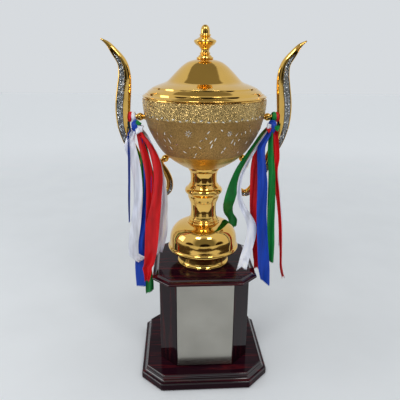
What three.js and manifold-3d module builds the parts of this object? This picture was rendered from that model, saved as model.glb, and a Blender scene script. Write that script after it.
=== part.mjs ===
// A cup trophy: a gilt cup with a lid that lifts off and two tall horn handles dressed with ribbons,
// on a turned metal stem and an eight-sided lacquered plinth. One tie rod clamps the cup, the stem
// and the plinth's top board together.
// Millimetres, +Z up. The front faces -Y, the handles lie along X, and the origin is at the centre
// of the plinth's underside, on the surface that the feet stand on.
import * as THREE from "three";
import { mergeVertices } from "three/addons/utils/BufferGeometryUtils.js";
import Module from "manifold-3d";

// ---- driving dimensions ----
const GAP = 0.3; // between parts that are cut to each other's shape

const FOOT_RADIUS = 9;
const FOOT_HIGH = 2;
const FOOT_INSET = 32; // from the plinth's side to the centre of a foot
const BASE_HALF = 112.3; // half the plinth's width across its sides
const BASE_CORNER = 35.8; // how far a corner cut reaches along each side
const BASE_HIGH = 23.8;

const COLUMN_HALF = 78.5;
const COLUMN_CORNER = 29;
const COLUMN_HIGH = 164.2;
const BOARD_THICK = 6; // of the column's eight upright boards

const TOP_HALF = 89.6;
const TOP_CORNER = 26.6;
const TOP_HIGH = 8.5;

const PLATE_SIDE_GAP = 0.8; // from the nameplate's edge to the front board's edge
const PLATE_END_GAP = 1.2;
const PLATE_THICK = 1.4;
const PLATE_BEVEL = 0.6;

const WALL = 1.2; // of the spun metal parts
const ROD_RADIUS = 3;
const BORE_RADIUS = 3.7; // of each hole that the tie rod passes
const WASHER_RADIUS = 11;
const WASHER_THICK = 1.5;
const NUT_RADIUS = 6.4;
const NUT_HIGH = 5;
const ROD_END = 3; // of rod past each nut

const DRUM_RADIUS = 44;
const DRUM_HIGH = 24.5;
const DOME_RADIUS = 62.8;
const DOME_HIGH = 50;
const COLLAR_RADIUS = 28;
const COLLAR_HIGH = 8.5;
const STEM_RADIUS = 24;
const LOWER_STEM_HIGH = 30.5;
const KNOP_RADIUS = 32.6;
const KNOP_HIGH = 32;
const UPPER_STEM_HIGH = 29;

const BOWL_RADIUS = 101;
const BOWL_HIGH = 117;
const RIM_WIDE = 4;
const LID_HIGH = 58.4;
const LIP_DEEP = 8; // the lid's lip below the bowl's rim
const LIP_GAP = 0.8; // round the lip, inside the rim
const FINIAL_HIGH = 51.6;
const FINIAL_RADIUS = 18.6;
const FINIAL_FOOT = 11.8;
const FINIAL_SCREW = 2;
const FINIAL_THREAD = 10; // of screw inside the finial

const POST_HEIGHT = 84.5; // of the upper posts, above the bowl's foot
const POST_LONG = 24;
const POST_BALL = 6.5;
const BOSS_HEIGHT = 19.5; // of the lower bosses, above the bowl's foot
const BOSS_ANGLE = -42; // degrees: out of the bowl and down
const BOSS_LONG = 14;
const BOSS_BALL = 6.2;
const HORN_THICK = 10;
const SCREW_RADIUS = 1.8;
const SCREW_HOLE = 2.1;
const SCREW_GRIP = 6; // of a handle screw's thread inside the handle

const RIBBON_THICK = 1;

// ---- how finely the round parts are faceted ----
const WIDE_SIDES = 24;
const STEM_SIDES = 20;
const SMALL_SIDES = 12;

// ---- heights of the stack, from the surface up ----
const baseTop = FOOT_HIGH + BASE_HIGH;
const columnTop = baseTop + COLUMN_HIGH;
const topTop = columnTop + TOP_HIGH;
const drumTop = topTop + DRUM_HIGH;
const domeTop = drumTop + DOME_HIGH;
const collarTop = domeTop + COLLAR_HIGH;
const lowerStemTop = collarTop + LOWER_STEM_HIGH;
const knopTop = lowerStemTop + KNOP_HIGH;
const bowlFoot = knopTop + UPPER_STEM_HIGH;
const rimTop = bowlFoot + BOWL_HIGH;
const lidTop = rimTop + LID_HIGH;

// ---- looks ----
const finish = (color, metalness, roughness) =>
  new THREE.MeshStandardMaterial({ color, metalness, roughness });
const MIRROR_GOLD = finish("#e8b64a", 1, 0.12);
const GRANULAR_GOLD = finish("#c7954a", 1, 0.5);
const GLITTER = finish("#aeb6c4", 0.8, 0.35);
const STEEL = finish("#9a9a96", 1, 0.35);
const PLATE_METAL = finish("#84867e", 0.9, 0.35);
const LACQUER = finish("#2a0c10", 0, 0.12);
const RUBBER = finish("#151515", 0, 0.8);
const SATIN = {
  red: finish("#cf1f26", 0, 0.45),
  blue: finish("#1540a8", 0, 0.45),
  green: finish("#147a38", 0, 0.45),
  white: finish("#e6e8f2", 0, 0.45),
};

// ---- geometry helpers ----
const wasm = await Module();
wasm.setup();

const trophy = new THREE.Group();

function addPiece(name, geometry, material) {
  const mesh = new THREE.Mesh(geometry, material);
  mesh.name = name;
  trophy.add(mesh);
  return mesh;
}

// A copy of a geometry as a manifold solid, with its shared vertices merged.
function solid(geometry) {
  const bare = new THREE.BufferGeometry();
  bare.setAttribute("position", geometry.getAttribute("position"));
  bare.setIndex(geometry.getIndex());
  const merged = mergeVertices(bare, 1e-3);
  const made = new wasm.Manifold(
    new wasm.Mesh({
      numProp: 3,
      vertProperties: merged.getAttribute("position").array,
      triVerts: new Uint32Array(merged.getIndex().array),
    }),
  );
  return made;
}

function fromSolid(made) {
  const mesh = made.getMesh();
  const geometry = new THREE.BufferGeometry();
  geometry.setAttribute("position", new THREE.BufferAttribute(mesh.vertProperties, 3));
  geometry.setIndex(new THREE.BufferAttribute(mesh.triVerts, 1));
  return geometry;
}

const cut = (geometry, tools) =>
  fromSolid(tools.reduce((left, tool) => left.subtract(solid(tool)), solid(geometry)));

// The same geometry with its faces turned to point out of the volume that they enclose.
function facingOut(geometry) {
  const place = geometry.getAttribute("position");
  const index = geometry.getIndex();
  const corners = [new THREE.Vector3(), new THREE.Vector3(), new THREE.Vector3()];
  let volume = 0;
  for (let i = 0; i < index.count; i += 3) {
    const [a, b, c] = corners.map((corner, j) => corner.fromBufferAttribute(place, index.getX(i + j)));
    volume += a.dot(b.cross(c));
  }
  for (let i = 0; i < index.count && volume < 0; i += 3) {
    const first = index.getX(i);
    index.setX(i, index.getX(i + 1));
    index.setX(i + 1, first);
  }
  return geometry;
}

// A solid of revolution about +Z from a profile of [radius, height].
function turned(profile, sides) {
  const points = profile.map(([radius, height]) => new THREE.Vector2(radius, height));
  return facingOut(new THREE.LatheGeometry(points, sides).rotateX(Math.PI / 2));
}

// The profile moved along its own normals, to its left as it runs.
function offset(profile, distance) {
  return profile.map(([radius, height], i) => {
    const before = profile[Math.max(i - 1, 0)];
    const after = profile[Math.min(i + 1, profile.length - 1)];
    const run = new THREE.Vector2(after[0] - before[0], after[1] - before[1]).normalize();
    return [radius - run.y * distance, height + run.x * distance];
  });
}

// An inner wall that nobody sees needs half the points.
const everyOther = (profile) => profile.filter((_, i) => i % 2 === 0 || i === profile.length - 1);

// A spun part: an outer profile from its foot up to its top, a wall, and a bored top.
function spun(outer, sides) {
  const top = outer[outer.length - 1][1];
  const inner = everyOther(offset(outer, WALL).filter(([, height]) => height < top - WALL * 1.5));
  inner[0][1] = outer[0][1];
  const under = inner[inner.length - 1][0];
  const loop = [
    ...outer,
    [BORE_RADIUS, top],
    [BORE_RADIUS, top - WALL],
    [Math.min(under, outer[outer.length - 1][0] - WALL), top - WALL],
    ...inner.reverse(),
    outer[0],
  ];
  return turned(loop, sides);
}

// A smooth run of count + 1 points through the given ones.
function smooth(points, count) {
  const curve = new THREE.SplineCurve(points.map(([x, y]) => new THREE.Vector2(x, y)));
  return curve.getPoints(count).map((point) => [point.x, point.y]);
}

// A skin through rings of the same number of points, capped at both ends or closed on itself.
function loft(rings, closed = false) {
  const around = rings[0].length;
  const index = [];
  const spans = closed ? rings.length : rings.length - 1;
  for (let i = 0; i < spans; i++) {
    const low = i * around;
    const high = ((i + 1) % rings.length) * around;
    for (let j = 0; j < around; j++) {
      const k = (j + 1) % around;
      index.push(low + j, low + k, high + k, low + j, high + k, high + j);
    }
  }
  const last = (rings.length - 1) * around;
  for (let j = 1; j < around - 1 && !closed; j++) {
    index.push(0, j + 1, j, last, last + j, last + j + 1);
  }
  const geometry = new THREE.BufferGeometry();
  geometry.setAttribute("position", new THREE.Float32BufferAttribute(rings.flat(2), 3));
  geometry.setIndex(index);
  return facingOut(geometry);
}

// An eight-sided ring: a square of this half width whose corners are cut by corner.
function octagon(half, corner, height) {
  const flat = half - corner;
  return [
    [half, -flat], [half, flat], [flat, half], [-flat, half],
    [-half, flat], [-half, -flat], [-flat, -half], [flat, -half],
  ].map(([x, y]) => [x, y, height]);
}

// The same ring moved in by inset on all its sides.
const CORNER_SHARE = 2 - Math.SQRT2;
const insetOctagon = (half, corner, inset, height) =>
  octagon(half - inset, corner - inset * CORNER_SHARE, height);

// ---- plinth ----
const base = (inset, height) => insetOctagon(BASE_HALF, BASE_CORNER, inset, FOOT_HIGH + height);
const fasciaTop = BASE_HIGH * 0.53;
addPiece(
  "plinth_base",
  loft([
    base(1.2, 0), base(0, 1.2), base(0, fasciaTop - 1.5), base(0.6, fasciaTop), base(2.6, fasciaTop + 0.8),
    base(5, fasciaTop + 1.4), base(7.5, fasciaTop + 3.2), base(8.6, fasciaTop + 6),
    base(8.6, BASE_HIGH - 3.4), base(9.4, BASE_HIGH - 0.8), base(11.5, BASE_HIGH),
  ]),
  LACQUER,
);

const footCentre = BASE_HALF - FOOT_INSET;
for (const [name, x, y] of [
  ["foot_front_left", -1, -1], ["foot_front_right", 1, -1],
  ["foot_back_left", -1, 1], ["foot_back_right", 1, 1],
]) {
  const pad = new THREE.CylinderGeometry(FOOT_RADIUS, FOOT_RADIUS, FOOT_HIGH, 16);
  pad.rotateX(Math.PI / 2);
  const foot = addPiece(name, pad, RUBBER);
  foot.position.set(x * footCentre, y * footCentre, FOOT_HIGH / 2);
}

// Eight upright boards, mitred to each other round the column.
const boardNames = [
  "column_right_panel", "column_back_right_post", "column_back_panel", "column_back_left_post",
  "column_left_panel", "column_front_left_post", "column_front_panel", "column_front_right_post",
];
const flatWide = 2 * (COLUMN_HALF - COLUMN_CORNER);
const mitre = Math.tan(Math.PI / 8);
boardNames.forEach((name, i) => {
  const wide = i % 2 ? COLUMN_CORNER * Math.SQRT2 : flatWide;
  const face = i % 2 ? (2 * COLUMN_HALF - COLUMN_CORNER) / Math.SQRT2 : COLUMN_HALF;
  const outer = wide / 2 - GAP / 2;
  const inner = outer - BOARD_THICK * mitre;
  const shape = new THREE.Shape([
    new THREE.Vector2(face - BOARD_THICK, -inner), new THREE.Vector2(face, -outer),
    new THREE.Vector2(face, outer), new THREE.Vector2(face - BOARD_THICK, inner),
  ]);
  const board = new THREE.ExtrudeGeometry(shape, { depth: COLUMN_HIGH, bevelEnabled: false });
  const mesh = addPiece(name, board, LACQUER);
  mesh.rotation.z = (i * Math.PI) / 4;
  mesh.position.z = baseTop;
});

const plateHalf = flatWide / 2 - PLATE_SIDE_GAP;
const plateFoot = baseTop + PLATE_END_GAP;
const plateHead = columnTop - PLATE_END_GAP;
const plateRing = (inset, depth) => [
  [-plateHalf + inset, depth, plateFoot + inset], [-plateHalf + inset, depth, plateHead - inset],
  [plateHalf - inset, depth, plateHead - inset], [plateHalf - inset, depth, plateFoot + inset],
];
addPiece(
  "nameplate",
  loft([
    plateRing(PLATE_BEVEL, -COLUMN_HALF - PLATE_THICK),
    plateRing(0, -COLUMN_HALF - PLATE_THICK + PLATE_BEVEL),
    plateRing(0, -COLUMN_HALF),
  ]),
  PLATE_METAL,
);

const top = (inset, height) => insetOctagon(TOP_HALF, TOP_CORNER, inset, columnTop + height);
const boreHalf = BORE_RADIUS * Math.cos(Math.PI / 8);
const bore = (height) => octagon(boreHalf, boreHalf * CORNER_SHARE, height);
addPiece(
  "plinth_top_board",
  loft(
    [
      top(3.4, 0), top(1, 0.8), top(0, 2.4), top(0.8, 4), top(3.2, 4.8), top(6, 5.4),
      top(8.4, 6.6), top(9.4, TOP_HIGH - 0.8), top(11, TOP_HIGH), bore(topTop), bore(columnTop),
    ],
    true,
  ),
  LACQUER,
);

// ---- foot and stem ----
const drumFlare = 2;
addPiece(
  "foot_drum",
  spun(
    [
      [DRUM_RADIUS + drumFlare, topTop], [DRUM_RADIUS + 0.6, topTop + 2],
      [DRUM_RADIUS - 2, topTop + DRUM_HIGH * 0.3], [DRUM_RADIUS - 2.2, topTop + DRUM_HIGH * 0.6],
      [DRUM_RADIUS - 0.8, drumTop - 4], [DRUM_RADIUS, drumTop],
    ],
    WIDE_SIDES,
  ),
  MIRROR_GOLD,
);

// The dome's skirt turns in below its bead and rests on the drum.
const shoulder = (radius, height) => [DOME_RADIUS * radius, drumTop + DOME_HIGH * height];
const domeOuter = [
  [DOME_RADIUS - 3, drumTop], [DOME_RADIUS - 0.9, drumTop + 2], [DOME_RADIUS, drumTop + 4.2],
  [DOME_RADIUS - 0.7, drumTop + 6.6], [DOME_RADIUS - 2.3, drumTop + 8.4],
  ...smooth(
    [
      shoulder(0.959, 0.25), shoulder(0.949, 0.42), shoulder(0.918, 0.6), shoulder(0.84, 0.78),
      shoulder(0.72, 0.91), shoulder(0.57, 0.975), shoulder(0.43, 1),
    ],
    9,
  ),
];
const domeInner = everyOther(offset(domeOuter.slice(3, -1), WALL)).reverse();
addPiece(
  "foot_dome",
  turned(
    [
      ...domeOuter, [BORE_RADIUS, domeTop], [BORE_RADIUS, domeTop - WALL],
      [DOME_RADIUS * 0.43, domeTop - WALL], ...domeInner, [DOME_RADIUS - 4, drumTop + WALL],
      [DRUM_RADIUS - 5, drumTop + WALL], [DRUM_RADIUS - 5, drumTop], domeOuter[0],
    ],
    WIDE_SIDES,
  ),
  MIRROR_GOLD,
);

addPiece(
  "foot_collar",
  turned(
    [
      [BORE_RADIUS, domeTop], [COLLAR_RADIUS - 0.6, domeTop], [COLLAR_RADIUS, domeTop + 1.6],
      [COLLAR_RADIUS - 0.8, domeTop + 3.2], [COLLAR_RADIUS - 2.4, domeTop + 4],
      [COLLAR_RADIUS - 2.4, collarTop - 1.5], [COLLAR_RADIUS - 3.4, collarTop],
      [BORE_RADIUS, collarTop], [BORE_RADIUS, domeTop],
    ],
    STEM_SIDES,
  ),
  MIRROR_GOLD,
);

const lowerStem = (radius, height) => [STEM_RADIUS + radius, collarTop + LOWER_STEM_HIGH * height];
addPiece(
  "lower_stem",
  spun(
    smooth(
      [
        lowerStem(0.3, 0), lowerStem(-1.2, 0.15), lowerStem(-2, 0.5), lowerStem(-1.4, 0.8),
        lowerStem(-0.2, 1),
      ],
      6,
    ),
    STEM_SIDES,
  ),
  MIRROR_GOLD,
);

const knop = (radius, height) => [radius, lowerStemTop + KNOP_HIGH * height];
addPiece(
  "knop",
  spun(
    [
      knop(STEM_RADIUS, 0), knop(STEM_RADIUS + 1.5, 0.08), knop(STEM_RADIUS + 3, 0.2),
      knop(STEM_RADIUS + 3.6, 0.34), knop(KNOP_RADIUS - 4, 0.42), knop(KNOP_RADIUS - 1.1, 0.51),
      knop(KNOP_RADIUS, 0.61), knop(KNOP_RADIUS - 0.8, 0.7), knop(KNOP_RADIUS - 4.1, 0.81),
      knop(STEM_RADIUS + 1.2, 0.92), knop(STEM_RADIUS - 0.4, 1),
    ],
    STEM_SIDES,
  ),
  MIRROR_GOLD,
);

const flare = 3.7;
const upperStem = (radius, height) => [STEM_RADIUS + radius, knopTop + UPPER_STEM_HIGH * height];
addPiece(
  "upper_stem",
  spun(
    smooth(
      [
        upperStem(-0.6, 0), upperStem(-1.4, 0.14), upperStem(-1.3, 0.45), upperStem(0.1, 0.76),
        upperStem(1.5, 0.88), upperStem(flare, 1),
      ],
      8,
    ),
    STEM_SIDES,
  ),
  MIRROR_GOLD,
);

// ---- bowl ----
// The outside from the foot to the mouth, as shares of the radius and the height.
const bowlShape = [
  [0.272, 0], [0.36, 0.026], [0.54, 0.124], [0.653, 0.209], [0.723, 0.274],
  [0.822, 0.41], [0.911, 0.564], [0.957, 0.692], [0.986, 0.803], [1, 0.915], [1, 0.974],
];
const bowlOuter = smooth(
  bowlShape.map(([radius, height]) => [BOWL_RADIUS * radius, bowlFoot + BOWL_HIGH * height]),
  14,
);

// The bowl's outer radius at a height above its foot.
function bowlRadius(height) {
  const level = bowlFoot + height;
  const i = Math.max(1, bowlOuter.findIndex(([, z]) => z >= level));
  const [r0, z0] = bowlOuter[i - 1];
  const [r1, z1] = bowlOuter[i];
  return r0 + ((r1 - r0) * (level - z0)) / (z1 - z0);
}

const rimInner = BOWL_RADIUS - 1 - RIM_WIDE;
const bowlInner = everyOther(
  offset(bowlOuter, WALL).slice(1, -1).filter(([, height]) => height < rimTop - 7),
);
const bowlBlank = turned(
  [
    ...bowlOuter, [BOWL_RADIUS - 1, rimTop], [rimInner, rimTop], [rimInner, rimTop - 3],
    [rimInner + 2, rimTop - 5], ...bowlInner.reverse(), [BOWL_RADIUS * 0.3, bowlFoot + WALL + 0.4],
    [BORE_RADIUS, bowlFoot + WALL + 0.4], [BORE_RADIUS, bowlFoot], bowlOuter[0],
  ],
  WIDE_SIDES,
);

// ---- handle frames: where a post or a boss leaves the bowl, and its direction in the XZ plane ----
const post = {
  x: bowlRadius(POST_HEIGHT), z: bowlFoot + POST_HEIGHT,
  angle: 0, long: POST_LONG, ball: POST_BALL,
};
const boss = {
  x: bowlRadius(BOSS_HEIGHT), z: bowlFoot + BOSS_HEIGHT,
  angle: THREE.MathUtils.degToRad(BOSS_ANGLE), long: BOSS_LONG, ball: BOSS_BALL,
};
const along = (mount, distance) => [
  mount.x + distance * Math.cos(mount.angle),
  mount.z + distance * Math.sin(mount.angle),
];

// Lay a piece that is built along +Z along a mount's direction, on the right of the trophy.
const placed = (geometry, mount) =>
  geometry.clone().rotateY(Math.PI / 2 - mount.angle).translate(mount.x, 0, mount.z);

const rod = (radius, from, to, sides) =>
  turned([[0, from], [radius, from], [radius, to], [0, to]], sides);

// ---- horn ----
// Rows of [out, up, width], from the tip down to the hooked foot. The upper rows are measured
// from the outer end of the post, the lower ones from the outer end of the boss.
const postEnd = along(post, POST_LONG);
const bossEnd = along(boss, BOSS_LONG);
const hornRows = [
  [postEnd, 41, 120, 2], [postEnd, 30, 112.5, 7], [postEnd, 20, 100, 12], [postEnd, 9.5, 84.5, 15.5],
  [postEnd, 6.6, 66, 20], [postEnd, 8.2, 46, 23], [postEnd, 10.6, 26, 24.5], [postEnd, 11.8, 6, 24],
  [postEnd, 10.8, -16, 21], [postEnd, 4.5, -40, 18], [postEnd, -6, -62, 16],
  [bossEnd, 31.5, -19, 15], [bossEnd, 20, -42, 14], [bossEnd, 4.5, -57.5, 12],
  [bossEnd, -9.5, -52, 11.5], [bossEnd, -12, -36, 11.5], [bossEnd, -6.5, -20, 11],
  [bossEnd, 1.5, -7, 10], [bossEnd, 4.5, 3, 7],
];
const hornLine = new THREE.SplineCurve(
  hornRows.map(([from, out, up]) => new THREE.Vector2(from[0] + out, from[1] + up)),
);
const hornWide = new THREE.SplineCurve(hornRows.map((row, i) => new THREE.Vector2(i, row[3])));

// The horn's place, width and thickness at a share of its length.
function hornAt(share) {
  const point = hornLine.getPoint(share);
  const run = hornLine.getTangent(share);
  const tipShare = Math.min(1, 0.35 + share * 8);
  return {
    point, across: new THREE.Vector2(-run.y, run.x),
    wide: hornWide.getPoint(share).y, thick: HORN_THICK * tipShare,
  };
}

// A loft between two stations of the horn of an outline of [across, depth] shares of its width
// and thickness, where across 0.5 is the outer edge, grown across and in depth by these amounts.
const HORN_STATIONS = 26;
function alongHorn(outline, from, to, growAcross = 0, growDepth = 0) {
  const reaches = outline.map(([u]) => u);
  const middle = (Math.min(...reaches) + Math.max(...reaches)) / 2;
  const rings = Array.from({ length: to - from + 1 }, (_, i) => {
    const { point, across, wide, thick } = hornAt((from + i) / HORN_STATIONS);
    return outline.map(([u, v]) => {
      const reach = u * wide + Math.sign(u - middle) * growAcross;
      const depth = v * thick + Math.sign(v) * growDepth;
      return [point.x + across.x * reach, depth, point.y + across.y * reach];
    });
  });
  return loft(rings);
}

// Flat faces on the outer half, and a bevel that rounds off to the inner edge.
const hornSection = [
  [0.5, 0.3], [0.44, 0.5], [-0.1, 0.5], [-0.35, 0.36], [-0.5, 0.12],
  [-0.5, -0.12], [-0.35, -0.36], [-0.1, -0.5], [0.44, -0.5], [0.5, -0.3],
];
// The inlay fills a slot right through the horn and stands a little proud on both faces.
const inlaySection = [[0.4, 0.5], [-0.03, 0.5], [-0.03, -0.5], [0.4, -0.5]];
const inlayProud = 0.5;
const inlayFrom = 3;
const inlayTo = 22;

// ---- cutting tools shared by the bowl, the posts and the horns ----
const bowlEnvelope = turned(
  [[0, bowlFoot - GAP], ...offset(bowlOuter, -GAP), [0, bowlOuter[bowlOuter.length - 1][1]]],
  WIDE_SIDES,
);
const hornEnvelope = alongHorn(hornSection, 0, HORN_STATIONS, GAP, GAP);
const screwHole = (mount, from, to) => placed(rod(SCREW_HOLE, from, to, SMALL_SIDES), mount);
const bothSides = (geometry) => [geometry, geometry.clone().rotateZ(Math.PI)];

addPiece(
  "bowl",
  cut(bowlBlank, [post, boss].flatMap((mount) => bothSides(screwHole(mount, -12, 8)))),
  GRANULAR_GOLD,
);

// A turned post: a flange on the bowl, a ball, and a neck that meets the horn.
const FLANGE_END = 2.2;
const SWELL_HALF = 5;
function mountBlank({ long, ball }) {
  const centre = Math.max(long * 0.36, FLANGE_END + GAP + SWELL_HALF);
  const neck = ball * 0.62;
  const swell = smooth(
    [
      [neck, centre - SWELL_HALF], [ball * 0.93, centre - 2.6], [ball, centre],
      [ball * 0.93, centre + 2.6], [neck, centre + SWELL_HALF],
    ],
    6,
  );
  return turned(
    [
      [SCREW_HOLE, -3], [ball * 0.78, -3], [ball * 0.78, 1.4], [neck, FLANGE_END], ...swell,
      [neck * 0.96, long + 4], [SCREW_HOLE, long + 4], [SCREW_HOLE, -3],
    ],
    SMALL_SIDES,
  );
}

const horn = cut(alongHorn(hornSection, 0, HORN_STATIONS), [
  alongHorn(inlaySection, inlayFrom, inlayTo, GAP / 2, 3),
  ...[post, boss].map((mount) => screwHole(mount, mount.long - 4, mount.long + SCREW_GRIP + 0.5)),
]);
const inlay = alongHorn(inlaySection, inlayFrom, inlayTo, 0, inlayProud);
const fitted = (mount) => cut(placed(mountBlank(mount), mount), [bowlEnvelope, hornEnvelope]);

// A handle screw: its head is inside the bowl, and its end is in the horn.
const screwSeat = -WALL - 1.9;
const screwHead = 2.2;
function handleScrew(mount) {
  const tip = mount.long + SCREW_GRIP;
  const profile = [
    [0, screwSeat - screwHead], [3, screwSeat - screwHead], [4, screwSeat - screwHead / 2],
    [4, screwSeat], [SCREW_RADIUS, screwSeat], [SCREW_RADIUS, tip - 1], [0, tip],
  ];
  return placed(turned(profile, SMALL_SIDES), mount);
}

for (const [name, geometry, material] of [
  ["handle", horn, MIRROR_GOLD],
  ["handle_inlay", inlay, GLITTER],
  ["handle_post", fitted(post), MIRROR_GOLD],
  ["handle_boss", fitted(boss), MIRROR_GOLD],
  ["handle_upper_screw", handleScrew(post), STEEL],
  ["handle_lower_screw", handleScrew(boss), STEEL],
]) {
  const [right, left] = bothSides(geometry);
  addPiece(`${name}_right`, right, material);
  addPiece(`${name}_left`, left, material);
}

// ---- tie rod, with a washer and a nut at each end ----
const ring = (inner, outer, from, to) =>
  turned([[inner, from], [outer, from], [outer, to], [inner, to], [inner, from]], STEM_SIDES);
const bowlFloor = bowlFoot + WALL + 0.4;
const upperNut = bowlFloor + WASHER_THICK;
const lowerWasher = columnTop - WASHER_THICK;
const lowerNut = lowerWasher - NUT_HIGH;

// A six-sided nut with a round bore that clears the rod.
function nut(foot) {
  const shape = new THREE.Shape();
  for (let i = 0; i < 6; i++) {
    const angle = (i * Math.PI) / 3;
    const corner = [NUT_RADIUS * Math.cos(angle), NUT_RADIUS * Math.sin(angle)];
    if (i) shape.lineTo(...corner);
    else shape.moveTo(...corner);
  }
  const hole = new THREE.Path();
  hole.absarc(0, 0, ROD_RADIUS + GAP, 0, 2 * Math.PI, true);
  shape.holes.push(hole);
  const settings = { depth: NUT_HIGH, bevelEnabled: false, curveSegments: 8 };
  return new THREE.ExtrudeGeometry(shape, settings).translate(0, 0, foot);
}
addPiece(
  "tie_rod",
  rod(ROD_RADIUS, lowerNut - ROD_END, upperNut + NUT_HIGH + ROD_END, SMALL_SIDES),
  STEEL,
);
addPiece("rod_upper_washer", ring(BORE_RADIUS, WASHER_RADIUS, bowlFloor, upperNut), STEEL);
addPiece("rod_lower_washer", ring(BORE_RADIUS, WASHER_RADIUS, lowerWasher, columnTop), STEEL);
addPiece("rod_upper_nut", nut(upperNut), STEEL);
addPiece("rod_lower_nut", nut(lowerNut), STEEL);

// ---- lid ----
const lidPoint = (inset, share) => [BOWL_RADIUS - inset, rimTop + LID_HIGH * share];
const lidFlat = BOWL_RADIUS - 88; // radius of the flat that the finial stands on
const lidOuter = [
  [BOWL_RADIUS - 1.2, rimTop], lidPoint(0.5, 0.022), lidPoint(1.6, 0.052), lidPoint(5, 0.082),
  lidPoint(6.8, 0.103), lidPoint(8.2, 0.144), lidPoint(12.6, 0.209), lidPoint(16.6, 0.243),
  ...smooth(
    [
      lidPoint(18.6, 0.274), lidPoint(25, 0.316), lidPoint(31, 0.353), lidPoint(36.5, 0.385),
      lidPoint(40.5, 0.421), lidPoint(43.8, 0.471), lidPoint(51, 0.6), lidPoint(60.8, 0.767),
      lidPoint(66.5, 0.85), lidPoint(73.5, 0.928), lidPoint(81, 0.973), [lidFlat, lidTop],
    ],
    13,
  ),
];
const lipOuter = rimInner - LIP_GAP;
const lipInner = lipOuter - WALL;
const lidUnder = lidTop - WALL;
const lidInner = everyOther(
  offset(lidOuter, WALL).filter(([radius, height]) => radius < lipInner - 1 && height < lidUnder),
);
const lidHole = FINIAL_SCREW + 0.4;
addPiece(
  "lid",
  turned(
    [
      ...lidOuter, [lidHole, lidTop], [lidHole, lidUnder], [lidFlat, lidUnder],
      ...lidInner.reverse(), [lipInner, rimTop + 2.6], [lipInner, rimTop - LIP_DEEP],
      [lipOuter, rimTop - LIP_DEEP], [lipOuter, rimTop], lidOuter[0],
    ],
    WIDE_SIDES,
  ),
  MIRROR_GOLD,
);

const finialPoint = (radius, share) => [radius, lidTop + FINIAL_HIGH * share];
const saucer = (part, share) => finialPoint(FINIAL_RADIUS * part, share);
const finialBore = FINIAL_SCREW + 0.3;
addPiece(
  "finial",
  turned(
    [
      [0, lidTop + FINIAL_THREAD + 1], [finialBore, lidTop + FINIAL_THREAD], [finialBore, lidTop],
      finialPoint(FINIAL_FOOT, 0), finialPoint(FINIAL_FOOT + 0.5, 0.025),
      finialPoint(FINIAL_FOOT - 0.4, 0.052), finialPoint(8, 0.07), finialPoint(6.2, 0.093),
      finialPoint(6.5, 0.12), finialPoint(7.3, 0.148), finialPoint(6.5, 0.18), finialPoint(6.1, 0.22),
      finialPoint(6.7, 0.265), saucer(0.6, 0.36), saucer(0.82, 0.45), saucer(0.96, 0.51),
      saucer(1, 0.535), saucer(0.96, 0.56), saucer(0.7, 0.605), saucer(0.46, 0.65),
      finialPoint(7.2, 0.67), finialPoint(8.3, 0.7), finialPoint(8.3, 0.725), finialPoint(6.7, 0.75),
      finialPoint(6.4, 0.81), finialPoint(5.8, 0.885), finialPoint(4.4, 0.95), finialPoint(2.4, 0.988),
      finialPoint(0, 1),
    ],
    16,
  ),
  MIRROR_GOLD,
);
const headTop = lidUnder - 1;
addPiece("finial_washer", ring(lidHole, 7, headTop, lidUnder), STEEL);
const screwEnd = lidTop + FINIAL_THREAD - 0.5;
addPiece(
  "finial_screw",
  turned(
    [
      [0, headTop - 3], [3, headTop - 3], [4.2, headTop - 1.5], [4.2, headTop],
      [FINIAL_SCREW, headTop], [FINIAL_SCREW, screwEnd], [0, screwEnd],
    ],
    SMALL_SIDES,
  ),
  STEEL,
);

// ---- ribbons: a knot on each upper post, and tails that hang from it ----
const knot = { out: post.x + POST_LONG * 0.61, y: -10, z: post.z - 14.5 };
const KNOT_SIZE = [10, 7.5, 12];
const LOOP_RADIUS = 7.5;
const LOOP_THICK = 2.2;
const RIBBON_CLEAR = 1.5; // between a ribbon's edge and the dome or the plinth

// The knot with the loop that holds it round the neck of the post.
const knotBall = new THREE.SphereGeometry(1, 12, 8).scale(...KNOT_SIZE);
const knotLoop = new THREE.TorusGeometry(LOOP_RADIUS, LOOP_THICK, 6, 14).rotateY(Math.PI / 2);
knotBall.translate(knot.out, knot.y, knot.z);
knotLoop.translate(post.x + POST_LONG * 0.75, 0, post.z);
const knotRight = fromSolid(solid(knotBall).add(solid(knotLoop)));
addPiece("ribbon_knot_right", knotRight, SATIN.blue);
addPiece("ribbon_knot_left", facingOut(knotRight.clone().scale(-1, 1, 1)), SATIN.blue);

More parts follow.
